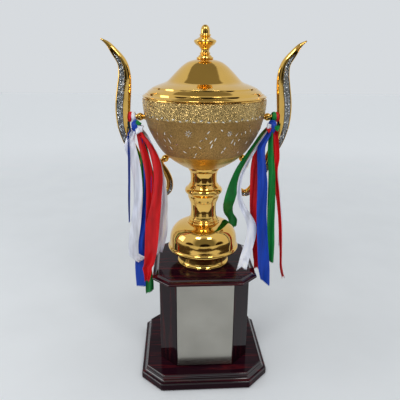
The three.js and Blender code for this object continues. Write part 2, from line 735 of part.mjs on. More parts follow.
// Each tail's route: rows of [out, back, up, width] from the knot's centre, from the top down.
const tails = {
  left: {
    red_front: [
      [-9, -7.5, -12.5, 9], [-21, -17, -27, 10], [-31, -24, -50, 14], [-35, -26, -78, 15],
      [-33, -26, -108, 15], [-28, -26, -140, 20], [-23, -26, -171, 24], [-20, -26, -208, 22],
      [-14, -26, -246, 16], [-11, -26, -269, 8],
    ],
    white_front: [
      [6, -3.6, -12.5, 9], [10, -13, -28, 18], [4, -16, -51, 16], [0, -16, -83, 14],
      [0, -16, -125, 13], [6, -16, -168, 16], [11, -16, -205, 15], [10, -16, -240, 15],
    ],
    blue_front: [
      [9, -5.8, -12.5, 7], [8, -18, -38, 8], [9, -21, -83, 8], [11, -21, -123, 8], [12, -21, -158, 7],
    ],
    red_back: [
      [-4, -1, -12.5, 8], [-9, -8, -32, 11], [-16, -12, -55, 13], [-20, -12, -88, 13],
      [-20, -12, -128, 14], [-17, -12, -178, 14], [-16, -12, -215, 12],
    ],
    blue_back: [
      [-7, 0.8, -12.5, 8], [-12, -5, -38, 9], [-16, -8, -68, 12], [-15, -8, -113, 12],
      [-9, -8, -158, 11], [-2, -8, -203, 13], [1, -8, -248, 15], [1, -8, -289, 13],
    ],
    green_front: [
      [-9, 2.6, -12.5, 6], [-16, -2, -43, 7], [-23, -4, -78, 8], [-26, -4, -123, 8], [-25, -4, -173, 8],
    ],
    white_back: [
      [-13, 4.5, -12.5, 7], [-23, 0, -30, 7], [-33, -1, -51, 8], [-40, -1, -83, 9],
      [-43, -1, -123, 11], [-42, -1, -158, 12], [-40, -1, -193, 12], [-33, -1, -227, 8],
    ],
    green_back: [
      [-5, 6.4, -12.5, 8], [-8, 2, -43, 9], [-9, 2, -93, 10], [-7, 2, -143, 10],
      [-6, 2, -188, 10], [-10, 2, -238, 12], [-13, 2, -278, 15], [-14, 2, -307, 15],
    ],
  },
  right: {
    blue_front: [
      [-8, -7, -12.5, 11], [-19, -17, -32, 13], [-19, -24, -58, 14], [-16, -26, -93, 17],
      [-15, -26, -143, 17], [-11, -26, -193, 18], [-6, -26, -243, 19], [-2, -26, -277, 15],
    ],
    white_front: [
      [-12, -5, -12.5, 7], [-28, -12, -35, 8], [-43, -18, -59, 8], [-53, -20, -85, 8],
      [-53, -20, -115, 9], [-44, -20, -140, 12], [-31, -20, -163, 15], [-30, -21, -188, 15],
      [-38, -26, -215, 15], [-49, -46, -241, 14],
    ],
    green_front: [
      [-1, -3, -12.5, 9], [-1, -10, -38, 10], [2, -14, -78, 11], [3, -14, -123, 12],
      [4, -14, -168, 11], [7, -14, -208, 10], [9, -14, -243, 8],
    ],
    red_front: [
      [-11, -1.2, -12.5, 9], [-21, -7, -33, 11], [-27, -10, -63, 14], [-28, -10, -103, 14],
      [-27, -10, -143, 14], [-23, -10, -188, 12], [-17, -10, -233, 12], [-15, -10, -260, 10],
    ],
    red_back: [
      [5, 0.6, -12.5, 8], [9, -5, -48, 9], [8, -5, -78, 8], [14, -5, -108, 7], [20, -5, -143, 6],
      [25, -5, -185, 7], [29, -5, -231, 6], [31, -5, -258, 6], [37, -5, -281, 6],
    ],
    green_back: [
      [-14, 2.6, -12.5, 7], [-29, -1, -35, 9], [-43, -2, -58, 13], [-53, -2, -80, 15],
      [-61, -1, -103, 15], [-66, 6, -128, 15], [-67, 22, -151, 13], [-60, 43, -177, 12],
      [-54, 50, -203, 11],
    ],
    white_back: [
      [0, 4.4, -12.5, 7], [7, 1.5, -45, 7], [14, 1.5, -88, 7], [20, 1.5, -131, 8],
      [26, 1.5, -173, 8], [29, 1.5, -221, 8],
    ],
  },
};

const boardBrink = topTop + RIBBON_CLEAR * 1.5; // below this a tail hangs past the top board

// Move a point of a ribbon out past the dome, or past the plinth's top board below its face.
function keptClear(out, y, z, wide) {
  const reach = wide / 2 + RIBBON_CLEAR;
  const past = z < boardBrink ? Math.max(out, TOP_HALF + reach) : out;
  const need = z < domeTop + 2 ? DOME_RADIUS + reach : 0;
  const grow = Math.max(1, need / Math.hypot(past, y));
  return [past * grow, y * grow];
}

// A strip with level cuts, about one every STRIP_STEP and one just over the top board's edge.
const STRIP_STEP = 20;
const BRINK_NEAR = 0.02;
function ribbonTail(rows, side, stretch) {
  const place = new THREE.CatmullRomCurve3(rows.map(([out, y, z]) => new THREE.Vector3(out, y, z)));
  const width = new THREE.SplineCurve(rows.map((row, i) => new THREE.Vector2(i, row[3])));
  const steps = Math.ceil(place.getLength() / STRIP_STEP);
  const height = (t) => knot.z + place.getPoint(t).z * stretch;
  let cuts = Array.from({ length: steps + 1 }, (_, i) => i / steps);
  const below = cuts.findIndex((t) => height(t) < boardBrink);
  if (below > 0) {
    let [from, to] = [cuts[below - 1], cuts[below]];
    while (height(from) - height(to) > BRINK_NEAR) {
      const middle = (from + to) / 2;
      if (height(middle) < boardBrink) to = middle;
      else from = middle;
    }
    cuts.splice(below, 0, to);
    cuts = cuts.filter((t) => t === to || Math.abs(height(t) - boardBrink) > STRIP_STEP / 4);
  }
  const rings = cuts.map((t) => {
    const point = place.getPoint(t);
    const wide = width.getPoint(t).y;
    const z = height(t);
    const [out, y] = keptClear(knot.out + point.x, knot.y + point.y, z, wide);
    const [x, half, thick] = [side * out, wide / 2, RIBBON_THICK / 2];
    return [
      [x - half, y - thick, z], [x + half, y - thick, z],
      [x + half, y + thick, z], [x - half, y + thick, z],
    ];
  });
  return loft(rings);
}

for (const [sideName, side] of [["left", -1], ["right", 1]]) {
  for (const [name, rows] of Object.entries(tails[sideName])) {
    // The tail that ends over the top board is as long as the drop to it.
    const overBoard = sideName === "right" && name === "white_front";
    const drop = knot.z - topTop - RIBBON_CLEAR * 2;
    const stretch = overBoard ? -drop / rows[rows.length - 1][2] : 1;
    addPiece(`ribbon_${name}_${sideName}`, ribbonTail(rows, side, stretch), SATIN[name.split("_")[0]]);
  }
}

export default trophy;
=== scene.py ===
"""A cup trophy dressed with ribbons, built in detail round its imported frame.

The sizes and colours a user would change are in the Trophy panel of the 3D view's sidebar. Each
operator there builds one group of pieces in its place, in metres, on the body it moves with.
"""

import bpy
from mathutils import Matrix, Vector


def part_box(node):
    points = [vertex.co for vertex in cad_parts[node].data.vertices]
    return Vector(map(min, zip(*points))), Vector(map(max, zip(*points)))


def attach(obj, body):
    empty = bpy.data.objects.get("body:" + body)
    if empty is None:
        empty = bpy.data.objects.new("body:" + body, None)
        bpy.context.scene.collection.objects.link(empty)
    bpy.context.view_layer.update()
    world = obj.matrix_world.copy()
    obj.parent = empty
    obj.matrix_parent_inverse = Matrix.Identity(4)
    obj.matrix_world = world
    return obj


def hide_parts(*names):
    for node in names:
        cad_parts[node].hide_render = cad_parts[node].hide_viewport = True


bl_info = {
    "name": "Cup Trophy",
    "version": (1, 0, 0),
    "blender": (4, 5, 0),
    "location": "View3D > Sidebar > Trophy",
    "description": "Builds a gilt cup trophy with its lid, horn handles, ribbons and plinth",
    "category": "Add Mesh",
}

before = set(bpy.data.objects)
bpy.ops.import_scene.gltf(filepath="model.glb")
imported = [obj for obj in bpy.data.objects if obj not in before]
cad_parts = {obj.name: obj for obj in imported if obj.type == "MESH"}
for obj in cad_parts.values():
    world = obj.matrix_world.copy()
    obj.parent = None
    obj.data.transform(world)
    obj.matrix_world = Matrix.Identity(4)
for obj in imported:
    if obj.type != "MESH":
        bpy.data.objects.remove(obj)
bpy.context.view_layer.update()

import math
import random

import bmesh
import bpy
from bpy.props import FloatProperty, IntProperty, PointerProperty, StringProperty
from mathutils import Matrix, Quaternion, Vector, noise

MM = 0.001
SIDES = {"left": -1, "right": 1}
# The finish, the body and the frame's material slot of the gilt pieces and of the steel ones.
GOLD = ("polished_gilt_brass", "trophy", "mirror_gold")
LID_GOLD = ("polished_gilt_brass", "lid", "mirror_gold")
STEEL = ("zinc_plated_steel", "trophy", "steel")
LID_STEEL = ("zinc_plated_steel", "lid", "steel")


# ---- what a user can change ----
class TrophySizes(bpy.types.PropertyGroup):
    """Sizes of the detail that the frame leaves open."""

    sides: IntProperty(name="Turned sides", description="Sides of each turned part", default=144, min=24)
    grain: FloatProperty(
        name="Grain", description="Width of a grain on the bowl", default=1.25 * MM, unit="LENGTH"
    )
    flake: FloatProperty(
        name="Flake", description="Width of a glitter flake", default=1.1 * MM, unit="LENGTH"
    )
    dashes: IntProperty(
        name="Dashes", description="Bright dashes in the ring round the bowl", default=58, min=0
    )
    motifs: IntProperty(
        name="Motifs", description="Times the leaf pattern repeats round the bowl", default=3, min=1
    )
    ribbon: FloatProperty(
        name="Ribbon", description="Width of a narrow ribbon", default=20 * MM, unit="LENGTH"
    )
    wide_ribbon: FloatProperty(
        name="Wide ribbon", description="Width of a wide ribbon", default=25 * MM, unit="LENGTH"
    )
    cloth: FloatProperty(
        name="Cloth", description="Thickness of the ribbon", default=0.25 * MM, unit="LENGTH"
    )


class TrophyColours(bpy.types.PropertyGroup):
    """Colours of the finishes, as sRGB hex values."""

    mirror: StringProperty(
        name="Polished gilt", description="Colour of the polished parts", default="#F4C568"
    )
    granular: StringProperty(
        name="Granular gilt", description="Colour of the grained bowl", default="#BF975A"
    )
    bright: StringProperty(
        name="Sparkling gilt", description="Colour of the sparkling band", default="#DDBA78"
    )
    satin: StringProperty(name="Satin gilt", description="Colour of the bowl's underside", default="#EEBB5A")
    cut: StringProperty(name="Bright cut", description="Colour of the cut marks", default="#FFFAEC")
    lacquer: StringProperty(name="Lacquer", description="Dark tone of the lacquered wood", default="#14040A")
    figure: StringProperty(
        name="Wood figure", description="Red tone of the lacquered wood", default="#3A0B10"
    )
    plate: StringProperty(name="Nameplate", description="Colour of the nameplate", default="#AAA79E")
    red: StringProperty(name="Red", description="Colour of the red ribbons", default="#D6161D")
    blue: StringProperty(name="Blue", description="Colour of the blue ribbons", default="#1242B4")
    green: StringProperty(name="Green", description="Colour of the green ribbons", default="#108438")
    white: StringProperty(name="White", description="Colour of the white ribbons", default="#F0F3FF")


class TrophyStudio(bpy.types.PropertyGroup):
    """The camera and the light."""

    lens: FloatProperty(name="Lens", description="Focal length", default=39.5, unit="CAMERA")
    heading: FloatProperty(
        name="Heading", description="Turn to the right", default=math.radians(3.76), subtype="ANGLE"
    )
    pitch: FloatProperty(name="Pitch", description="Tilt down", default=math.radians(18.3), subtype="ANGLE")
    roll: FloatProperty(
        name="Roll", description="Turn to the left", default=math.radians(0.6), subtype="ANGLE"
    )
    key: FloatProperty(name="Key light", description="Power of the key light", default=5.0, unit="POWER")
    room: FloatProperty(name="Room light", description="Strength of the room's light", default=0.86, min=0.0)
    wall: StringProperty(name="Wall", description="Colour of the room", default="#E6EAEE")
    floor: StringProperty(name="Floor", description="Colour of the floor", default="#E6E9EC")


def sizes():
    return bpy.context.scene.trophy_sizes


def colours():
    return bpy.context.scene.trophy_colours


# ---- materials ----
def linear(code):
    """The linear RGBA of an sRGB hex colour."""
    parts = [int(code[i : i + 2], 16) / 255 for i in (1, 3, 5)]
    return [c / 12.92 if c <= 0.04045 else ((c + 0.055) / 1.055) ** 2.4 for c in parts] + [1.0]


def tinted(code, factor):
    """A linear colour, lighter or darker."""
    return [min(1.0, c * factor) for c in linear(code)[:3]] + [1.0]


def add_node(tree, kind, inputs=None, stops=None, **settings):
    """Adds a node with its settings, its ramp's stops, and its inputs' values or links."""
    made = tree.nodes.new(kind)
    for key, value in settings.items():
        setattr(made, key, value)
    for i, (place, colour) in enumerate(stops or []):
        element = made.color_ramp.elements[i] if i < 2 else made.color_ramp.elements.new(place)
        element.position, element.color = place, colour
    for key, value in (inputs or {}).items():
        if isinstance(value, bpy.types.NodeSocket):
            tree.links.new(value, made.inputs[key])
        else:
            made.inputs[key].default_value = value
    return made


def new_material(name):
    """An empty material and its tree."""
    made = bpy.data.materials.new(name)
    made.use_nodes = True
    made.node_tree.nodes.clear()
    return made, made.node_tree


def surface(tree, inputs):
    """Ends a tree with a Principled shader."""
    shader = add_node(tree, "ShaderNodeBsdfPrincipled", inputs)
    add_node(tree, "ShaderNodeOutputMaterial", {"Surface": shader.outputs[0]})
    return shader


def place_of(tree, stretch=(1.0, 1.0, 1.0)):
    """The place in the object, stretched along the axes."""
    coords = add_node(tree, "ShaderNodeTexCoord")
    mapping = add_node(tree, "ShaderNodeMapping", {"Vector": coords.outputs["Object"], "Scale": stretch})
    return mapping.outputs[0]


def per_metre(size):
    """A texture's scale for a feature of this size in metres."""
    return 1.0 / size


def tilted(tree, cells, normal, amount):
    """A normal that leans its own way in each cell, by up to this amount."""
    aside = add_node(
        tree, "ShaderNodeVectorMath", {0: cells.outputs["Color"], 1: (0.5, 0.5, 0.5)}, operation="SUBTRACT"
    )
    lean = add_node(tree, "ShaderNodeVectorMath", {0: aside.outputs[0], "Scale": amount}, operation="SCALE")
    leaning = add_node(tree, "ShaderNodeVectorMath", {0: normal, 1: lean.outputs[0]}, operation="ADD")
    return add_node(tree, "ShaderNodeVectorMath", {0: leaning.outputs[0]}, operation="NORMALIZE").outputs[0]


def polished_gilt_brass():
    """Spun brass, buffed and gold plated: a warm mirror, with the faint rings of the spinning lathe
    and a slow waviness that bends what it reflects, and a little haze where hands have been."""
    made, tree = new_material("polished_gilt_brass")
    place = place_of(tree)
    haze = add_node(tree, "ShaderNodeTexNoise", {"Vector": place, "Scale": per_metre(45 * MM), "Detail": 3.0})
    rough = add_node(
        tree, "ShaderNodeMapRange", {"Value": haze.outputs["Fac"], "From Min": 0.35, "From Max": 0.75,
                                     "To Min": 0.055, "To Max": 0.13},
    )
    tone = add_node(
        tree, "ShaderNodeValToRGB", {"Fac": haze.outputs["Fac"]},
        stops=[(0.3, linear(colours().mirror)), (0.8, tinted(colours().mirror, 0.86))],
    )
    # The lathe's rings are about 0.3 mm apart on such metal, and drawn about 2.4 mm apart to show: a
    # Wave texture makes 20 / (2 pi) bands in each unit of its scale.
    rings = add_node(
        tree, "ShaderNodeTexWave",
        {"Vector": place, "Scale": per_metre(1.2 * MM) / (2 * math.pi), "Distortion": 0.4},
        wave_type="BANDS", bands_direction="Z",
    )
    waves = add_node(
        tree, "ShaderNodeTexNoise", {"Vector": place, "Scale": per_metre(22 * MM), "Detail": 1.0}
    )
    slow = add_node(
        tree, "ShaderNodeBump", {"Height": waves.outputs["Fac"], "Strength": 0.12, "Distance": 1.2 * MM}
    )
    fine = add_node(
        tree, "ShaderNodeBump",
        {"Height": rings.outputs["Fac"], "Strength": 0.06, "Distance": 0.05 * MM, "Normal": slow.outputs[0]},
    )
    surface(tree, {"Base Color": tone.outputs[0], "Metallic": 1.0, "Roughness": rough.outputs[0],
                   "Normal": fine.outputs[0]})
    return made


def grained(name, colour, grain, roughness, depth, tilt):
    """A grained metal: cells of a real width, each tilted and toned a little differently."""
    made, tree = new_material(name)
    place = place_of(tree)
    cells = add_node(tree, "ShaderNodeTexVoronoi", {"Vector": place, "Scale": per_metre(grain)})
    small = add_node(
        tree, "ShaderNodeTexNoise", {"Vector": place, "Scale": per_metre(grain * 0.7), "Detail": 2.0}
    )
    cloud = add_node(
        tree, "ShaderNodeTexNoise", {"Vector": place, "Scale": per_metre(30 * MM), "Detail": 2.0}
    )
    split = add_node(tree, "ShaderNodeSeparateColor", {"Color": cells.outputs["Color"]})
    tone = add_node(
        tree, "ShaderNodeValToRGB", {"Fac": split.outputs[0]},
        stops=[(0.0, tinted(colour, 0.42)), (0.45, tinted(colour, 0.9)), (1.0, tinted(colour, 1.5))],
    )
    # Inputs 6 and 7 of a Mix node are its two colours, and output 2 is the colour it gives.
    soft = add_node(
        tree, "ShaderNodeMix", {0: cloud.outputs["Fac"], 6: tone.outputs[0], 7: tinted(colour, 0.78)},
        data_type="RGBA",
    )
    bump = add_node(
        tree, "ShaderNodeBump", {"Height": small.outputs["Fac"], "Strength": 0.8, "Distance": depth}
    )
    surface(tree, {"Base Color": soft.outputs[2], "Metallic": 1.0, "Roughness": roughness,
                   "Normal": tilted(tree, cells, bump.outputs[0], tilt)})
    return made


def sparkling_gilt():
    """Gilt brass with coarse crushed grit under the plating: a glittering band of bright and dark
    grains, drawn coarser than the real grit to show."""
    return grained("sparkling_gilt", colours().bright, sizes().grain, 0.26, 0.6 * MM, 1.25)


def granular_gilt():
    """Gilt brass blasted with finer grit: a quiet, sandy gold that catches light in small points."""
    return grained("granular_gilt", colours().granular, sizes().grain * 0.7, 0.4, 0.35 * MM, 0.55)


def satin_gilt():
    """Gilt brass wiped to a satin: an orange gold with soft, broad highlights."""
    return grained("satin_gilt", colours().satin, sizes().grain * 0.6, 0.3, 0.06 * MM, 0.07)


def bright_cut_brass():
    """Marks cut with a diamond tool through the plating: small pale mirrors."""
    made, tree = new_material("bright_cut_brass")
    place = place_of(tree)
    spots = add_node(tree, "ShaderNodeTexNoise", {"Vector": place, "Scale": per_metre(9 * MM)})
    tone = add_node(
        tree, "ShaderNodeValToRGB", {"Fac": spots.outputs["Fac"]},
        stops=[(0.35, linear(colours().cut)), (0.7, tinted(colours().cut, 0.8))],
    )
    surface(tree, {"Base Color": tone.outputs[0], "Metallic": 1.0, "Roughness": 0.16})
    return made


def glitter_film():
    """Polyester glitter set in clear resin: grey and silver flakes with a few of blue grey and pale
    gold, each at its own angle, and drawn coarser than real ones to show."""
    made, tree = new_material("glitter_film")
    place = place_of(tree)
    cells = add_node(tree, "ShaderNodeTexVoronoi", {"Vector": place, "Scale": per_metre(sizes().flake)})
    split = add_node(tree, "ShaderNodeSeparateColor", {"Color": cells.outputs["Color"]})
    tone = add_node(
        tree, "ShaderNodeValToRGB", {"Fac": split.outputs[1]},
        stops=[
            (0.0, linear("#1E2022")), (0.25, linear("#4C4F52")), (0.5, linear("#8B8D8E")),
            (0.72, linear("#D2D3D2")), (0.86, linear("#7F93A2")), (1.0, linear("#B7AA88")),
        ],
    )
    flat = add_node(tree, "ShaderNodeNewGeometry")
    surface(tree, {"Base Color": tone.outputs[0], "Metallic": 0.75, "Roughness": 0.24,
                   "Coat Weight": 0.6, "Coat Roughness": 0.05,
                   "Normal": tilted(tree, cells, flat.outputs["Normal"], 1.1)})
    return made


def lacquered_rosewood(name, along, coat, coat_ior=1.4, red=1.0):
    """Rosewood stained dark and flow-coated with polyester lacquer: near black, with a red figure along one
    axis under a gloss that is very slightly wavy. A fuller coat gleams more, and a higher red makes the wood's
    colour lighter, which above 1 is painted light."""
    made, tree = new_material(name)
    # Growth bands about 9 mm wide and 120 mm long, running along the board.
    stretch = [per_metre(9 * MM)] * 3
    stretch[along] = per_metre(120 * MM)
    place = place_of(tree, stretch)
    bands = add_node(
        tree, "ShaderNodeTexNoise", {"Vector": place, "Scale": 1.0, "Detail": 6.0, "Distortion": 0.9}
    )
    tone = add_node(
        tree, "ShaderNodeValToRGB", {"Fac": bands.outputs["Fac"]},
        stops=[
            (0.3, tinted(colours().lacquer, red)), (0.52, tinted(colours().lacquer, 1.5 * red)),
            (0.66, tinted(colours().figure, red)), (0.8, tinted(colours().lacquer, 1.2 * red)),
        ],
    )
    flow = add_node(
        tree, "ShaderNodeTexNoise", {"Vector": place_of(tree), "Scale": per_metre(14 * MM), "Detail": 1.0}
    )
    bump = add_node(
        tree, "ShaderNodeBump", {"Height": flow.outputs["Fac"], "Strength": 0.1, "Distance": 0.6 * MM}
    )
    surface(tree, {"Base Color": tone.outputs[0], "Roughness": 0.12, "IOR": 1.5, "Specular IOR Level": 0.06,
                   "Normal": bump.outputs[0], "Coat Weight": coat, "Coat Roughness": 0.03,
                   "Coat IOR": coat_ior,
                   "Coat Normal": bump.outputs[0]})
    return made


def lacquered_rosewood_upright():
    """The lacquer on the column's boards, whose grain runs up."""
    return lacquered_rosewood("lacquered_rosewood_upright", 2, 0.4)


def lacquered_rosewood_level():
    """The lacquer on the base's and top board's faces, rubbed down thin, whose grain runs across. Its colour
    is drawn 1.7 times lighter than the column's: painted light for the boards' lit upper faces, which their
    upright sides and undersides get as well.
    """
    return lacquered_rosewood("lacquered_rosewood_level", 0, 0.07, red=1.7)


def lacquered_rosewood_edge():
    """The same lacquer where it flows thicker over a moulded edge, and gleams."""
    return lacquered_rosewood("lacquered_rosewood_edge", 0, 1.0, 1.65)


def brushed_nickel_plate():
    """Nickel-plated brass sheet, brushed across and clear coated: a warm grey satin that mirrors
    faintly, with hairlines about 0.2 mm apart, drawn 1 mm apart to show."""
    made, tree = new_material("brushed_nickel_plate")
    place = place_of(tree, (per_metre(70 * MM), per_metre(70 * MM), per_metre(1 * MM)))
    lines = add_node(tree, "ShaderNodeTexNoise", {"Vector": place, "Scale": 1.0, "Detail": 4.0})
    cloud = add_node(tree, "ShaderNodeTexNoise", {"Vector": place_of(tree), "Scale": per_metre(60 * MM)})
    tone = add_node(
        tree, "ShaderNodeValToRGB", {"Fac": cloud.outputs["Fac"]},
        stops=[(0.3, tinted(colours().plate, 0.88)), (0.7, tinted(colours().plate, 1.08))],
    )
    rough = add_node(
        tree, "ShaderNodeMapRange", {"Value": lines.outputs["Fac"], "To Min": 0.14, "To Max": 0.32}
    )
    bump = add_node(
        tree, "ShaderNodeBump", {"Height": lines.outputs["Fac"], "Strength": 0.08, "Distance": 0.1 * MM}
    )
    surface(tree, {"Base Color": tone.outputs[0], "Metallic": 0.9, "Roughness": rough.outputs[0],
                   "Normal": bump.outputs[0]})
    return made


def zinc_plated_steel():
    """Turned and pressed steel under bright zinc: cool grey, finely marked, a little uneven."""
    made, tree = new_material("zinc_plated_steel")
    grit = add_node(
        tree, "ShaderNodeTexNoise", {"Vector": place_of(tree), "Scale": per_metre(1.5 * MM), "Detail": 4.0}
    )
    tone = add_node(
        tree, "ShaderNodeValToRGB", {"Fac": grit.outputs["Fac"]},
        stops=[(0.3, linear("#7F8288")), (0.7, linear("#B4B8BC"))],
    )
    rough = add_node(
        tree, "ShaderNodeMapRange", {"Value": grit.outputs["Fac"], "To Min": 0.25, "To Max": 0.45}
    )
    surface(tree, {"Base Color": tone.outputs[0], "Metallic": 1.0, "Roughness": rough.outputs[0]})
    return made


def moulded_rubber():
    """Moulded black rubber: dull, with a fine pitted skin."""
    made, tree = new_material("moulded_rubber")
    pits = add_node(
        tree, "ShaderNodeTexNoise", {"Vector": place_of(tree), "Scale": per_metre(0.8 * MM), "Detail": 3.0}
    )
    tone = add_node(
        tree, "ShaderNodeValToRGB", {"Fac": pits.outputs["Fac"]},
        stops=[(0.3, linear("#0F0F10")), (0.7, linear("#232325"))],
    )
    bump = add_node(
        tree, "ShaderNodeBump", {"Height": pits.outputs["Fac"], "Strength": 0.5, "Distance": 0.2 * MM}
    )
    surface(tree, {"Base Color": tone.outputs[0], "Roughness": 0.8, "Normal": bump.outputs[0]})
    return made


def polyester_satin(colour):
    """Satin-woven polyester ribbon: smooth floats with fine ribs across, and a colour that turns lighter and
    darker in soft lengthwise bands, which is painted sheen and painted shade of the folds. The threads are
    0.15 mm apart, and drawn about 1.8 mm apart to show."""
    made, tree = new_material(f"polyester_satin_{colour}")
    code = getattr(colours(), colour)
    place = place_of(tree)
    # Lengthwise bands that lighten and darken the colour: painted sheen and painted shade of the folds.
    painted_fold_shading = add_node(
        tree, "ShaderNodeTexNoise",
        {"Vector": place_of(tree, (per_metre(7 * MM), per_metre(7 * MM), per_metre(60 * MM))), "Scale": 1.0,
         "Detail": 2.0},
    )
    tone = add_node(
        tree, "ShaderNodeValToRGB", {"Fac": painted_fold_shading.outputs["Fac"]},
        stops=[(0.3, tinted(code, 0.72)), (0.55, linear(code)), (0.75, tinted(code, 1.25))],
    )
    ribs = add_node(
        tree, "ShaderNodeTexWave",
        {"Vector": place, "Scale": per_metre(0.9 * MM) / (2 * math.pi), "Distortion": 1.5},
        wave_type="BANDS", bands_direction="Z",
    )
    bump = add_node(
        tree, "ShaderNodeBump", {"Height": ribs.outputs["Fac"], "Strength": 0.12, "Distance": 0.1 * MM}
    )
    surface(tree, {"Base Color": tone.outputs[0], "Roughness": 0.4, "IOR": 1.45, "Specular IOR Level": 0.3,
                   "Sheen Weight": 0.05, "Sheen Roughness": 0.4, "Normal": bump.outputs[0]})
    return made


FINISHES = {
    maker.__name__: maker for maker in (
        polished_gilt_brass, sparkling_gilt, granular_gilt, satin_gilt, bright_cut_brass, glitter_film,
        lacquered_rosewood_upright, lacquered_rosewood_level, lacquered_rosewood_edge,
        brushed_nickel_plate, zinc_plated_steel, moulded_rubber,
    )
}


def finish(name):
    """The finish of this name, made once."""
    if name in bpy.data.materials:
        return bpy.data.materials[name]
    if name.startswith("polyester_satin_"):
        return polyester_satin(name.split("_")[-1])
    return FINISHES[name]()


# ---- mesh helpers ----
def placed(name, data):
    """An object with this mesh, light or camera, put in the scene."""
    made = bpy.data.objects.new(name, data)
    bpy.context.scene.collection.objects.link(made)
    return made


def piece(name, points, faces, materials, body, slot, nodes=(), sharp=40):
    """A closed mesh that moves with a body and stands for these frame nodes. Points are in mm."""
    mesh = bpy.data.meshes.new(name)
    mesh.from_pydata([Vector(p) * MM for p in points], [], faces)
    shape = bmesh.new()
    shape.from_mesh(mesh)
    bmesh.ops.remove_doubles(shape, verts=shape.verts, dist=0.002 * MM)
    bmesh.ops.recalc_face_normals(shape, faces=shape.faces)
    shape.to_mesh(mesh)
    shape.free()
    for skin in materials:
        mesh.materials.append(finish(skin))
    mesh.polygons.foreach_set("use_smooth", [True] * len(mesh.polygons))
    mesh.set_sharp_from_angle(angle=math.radians(sharp))
    made = placed(name, mesh)
    weighted = made.modifiers.new("Flat faces stay flat", "WEIGHTED_NORMAL")
    weighted.keep_sharp = True
    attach(made, body)
    if nodes:
        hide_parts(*nodes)
    return made


def curve_at(rows, share):
    """The point of a Catmull-Rom curve through the rows, at a share of its rows."""
    place = share * (len(rows) - 1)
    i = min(int(place), len(rows) - 2)
    t = place - i
    a, b, c, d = (rows[max(0, min(len(rows) - 1, i + k))] for k in (-1, 0, 1, 2))
    return [
        0.5 * (2 * q + (r - p) * t + (2 * p - 5 * q + 4 * r - s) * t**2 + (3 * q - p - 3 * r + s) * t**3)
        for p, q, r, s in zip(a, b, c, d)
    ]


def smooth(rows, steps):
    """A run of points on the curve through the rows."""
    return [curve_at(rows, i / steps) for i in range(steps + 1)]


def eased(loop, radius, turn=24):
    """A closed outline with each corner that turns more than this many degrees rounded."""
    out = []
    for i, corner in enumerate(loop):
        here, before, after = Vector(corner), Vector(loop[i - 1]), Vector(loop[(i + 1) % len(loop)])
        back, ahead = before - here, after - here
        if back.length < 1e-6 or ahead.length < 1e-6:
            continue
        if math.degrees(math.pi - back.angle(ahead)) < turn:
            out.append(here)
            continue
        reach = min(radius, 0.42 * back.length, 0.42 * ahead.length)
        start, end = here + back.normalized() * reach, here + ahead.normalized() * reach
        for t in (0.0, 0.25, 0.5, 0.75, 1.0):
            out.append(start.lerp(here, t).lerp(here.lerp(end, t), t))
    return out


def lathe(loop, sides, place=None):
    """Points and faces of an outline of [radius, height] turned about the axis, which it may touch."""
    points, faces, rows = [], [], []
    for radius, height in loop:
        if radius < 1e-4:
            rows.append([len(points)] * sides)
            points.append(Vector((0, 0, height)))
        else:
            rows.append(list(range(len(points), len(points) + sides)))
            for j in range(sides):
                angle = 2 * math.pi * j / sides
                points.append(Vector((radius * math.cos(angle), radius * math.sin(angle), height)))
    for i, row in enumerate(rows):
        other = rows[(i + 1) % len(rows)]
        for j in range(sides):
            k = (j + 1) % sides
            face = list(dict.fromkeys([row[j], row[k], other[k], other[j]]))
            if len(face) > 2:
                faces.append(face)
    return [place @ p for p in points] if place else points, faces


def turned(name, loop, material, body, slot, nodes=(), ease=0.5, sides=None, place=None):
    """A turned piece from its outline, with eased corners."""
    points, faces = lathe(eased(loop, ease), sides or sizes().sides, place)
    return piece(name, points, faces, [material], body, slot, nodes)


def loft(rings, closed=False):
    """Points and faces of rings of like count joined in order, capped unless the loft is closed."""
    count = len(rings[0])
    points = [p for ring in rings for p in ring]
    faces = []
    for i in range(len(rings) if closed else len(rings) - 1):
        here, there = i * count, ((i + 1) % len(rings)) * count
        for j in range(count):
            k = (j + 1) % count
            faces.append([here + j, here + k, there + k, there + j])
    if not closed:
        faces += [list(range(count)), list(range(len(points) - count, len(points)))]
    return points, faces


def gathered(parts):
    """Several sets of points and faces as one."""
    points, faces = [], []
    for some, more in parts:
        faces += [[i + len(points) for i in face] for face in more]
        points += some
    return points, faces


def span(node):
    """A frame node's outer radius, foot and head, in millimetres."""
    low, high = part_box(node)
    return high.x / MM, low.z / MM, high.z / MM


def octagon(half, corner, height, ease=1.6, steps=4):
    """A level octagon with cut corners, each of its eight corners rounded."""
    flat = half - corner
    sharp = [(half, -flat), (half, flat), (flat, half), (-flat, half),
             (-half, flat), (-half, -flat), (-flat, -half), (flat, -half)]
    ring = []
    for i, (x, y) in enumerate(sharp):
        here = Vector((x, y, height))
        back = (Vector((*sharp[i - 1], height)) - here).normalized() * ease
        ahead = (Vector((*sharp[(i + 1) % 8], height)) - here).normalized() * ease
        for k in range(steps + 1):
            t = k / steps
            ring.append((here + back).lerp(here, t).lerp(here.lerp(here + ahead, t), t))
    return ring


def inset_octagon(half, corner, inset, height):
    """The same octagon with each side moved in by the inset."""
    return octagon(half - inset, corner - inset * (2 - math.sqrt(2)), height)


# ---- bowl ----
# The outside from foot to mouth, as shares of the radius and the height.
BOWL_SHAPE = [
    [0.272, 0], [0.36, 0.026], [0.54, 0.124], [0.653, 0.209], [0.723, 0.274],
    [0.822, 0.41], [0.911, 0.564], [0.957, 0.692], [0.986, 0.803], [1, 0.915], [1, 0.974],
]
SATIN_TO = 27  # mm above the foot, where the smooth underside meets the grained metal
SPARKLE_FROM = 88  # where the glittering band begins
WALL = 1.2  # mm of metal in the bowl, the dome and the lid
HOLE = 3.7  # mm, the radius of the bore for the tie rod


def bowl_outline():
    """The bowl's outside as [radius, height] in mm."""
    _, foot, head = span("bowl")
    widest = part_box("bowl")[1].x / MM / 1.001  # a hair inside the node's box
    return smooth([[r * widest, foot + h * (head - foot)] for r, h in BOWL_SHAPE], 70)


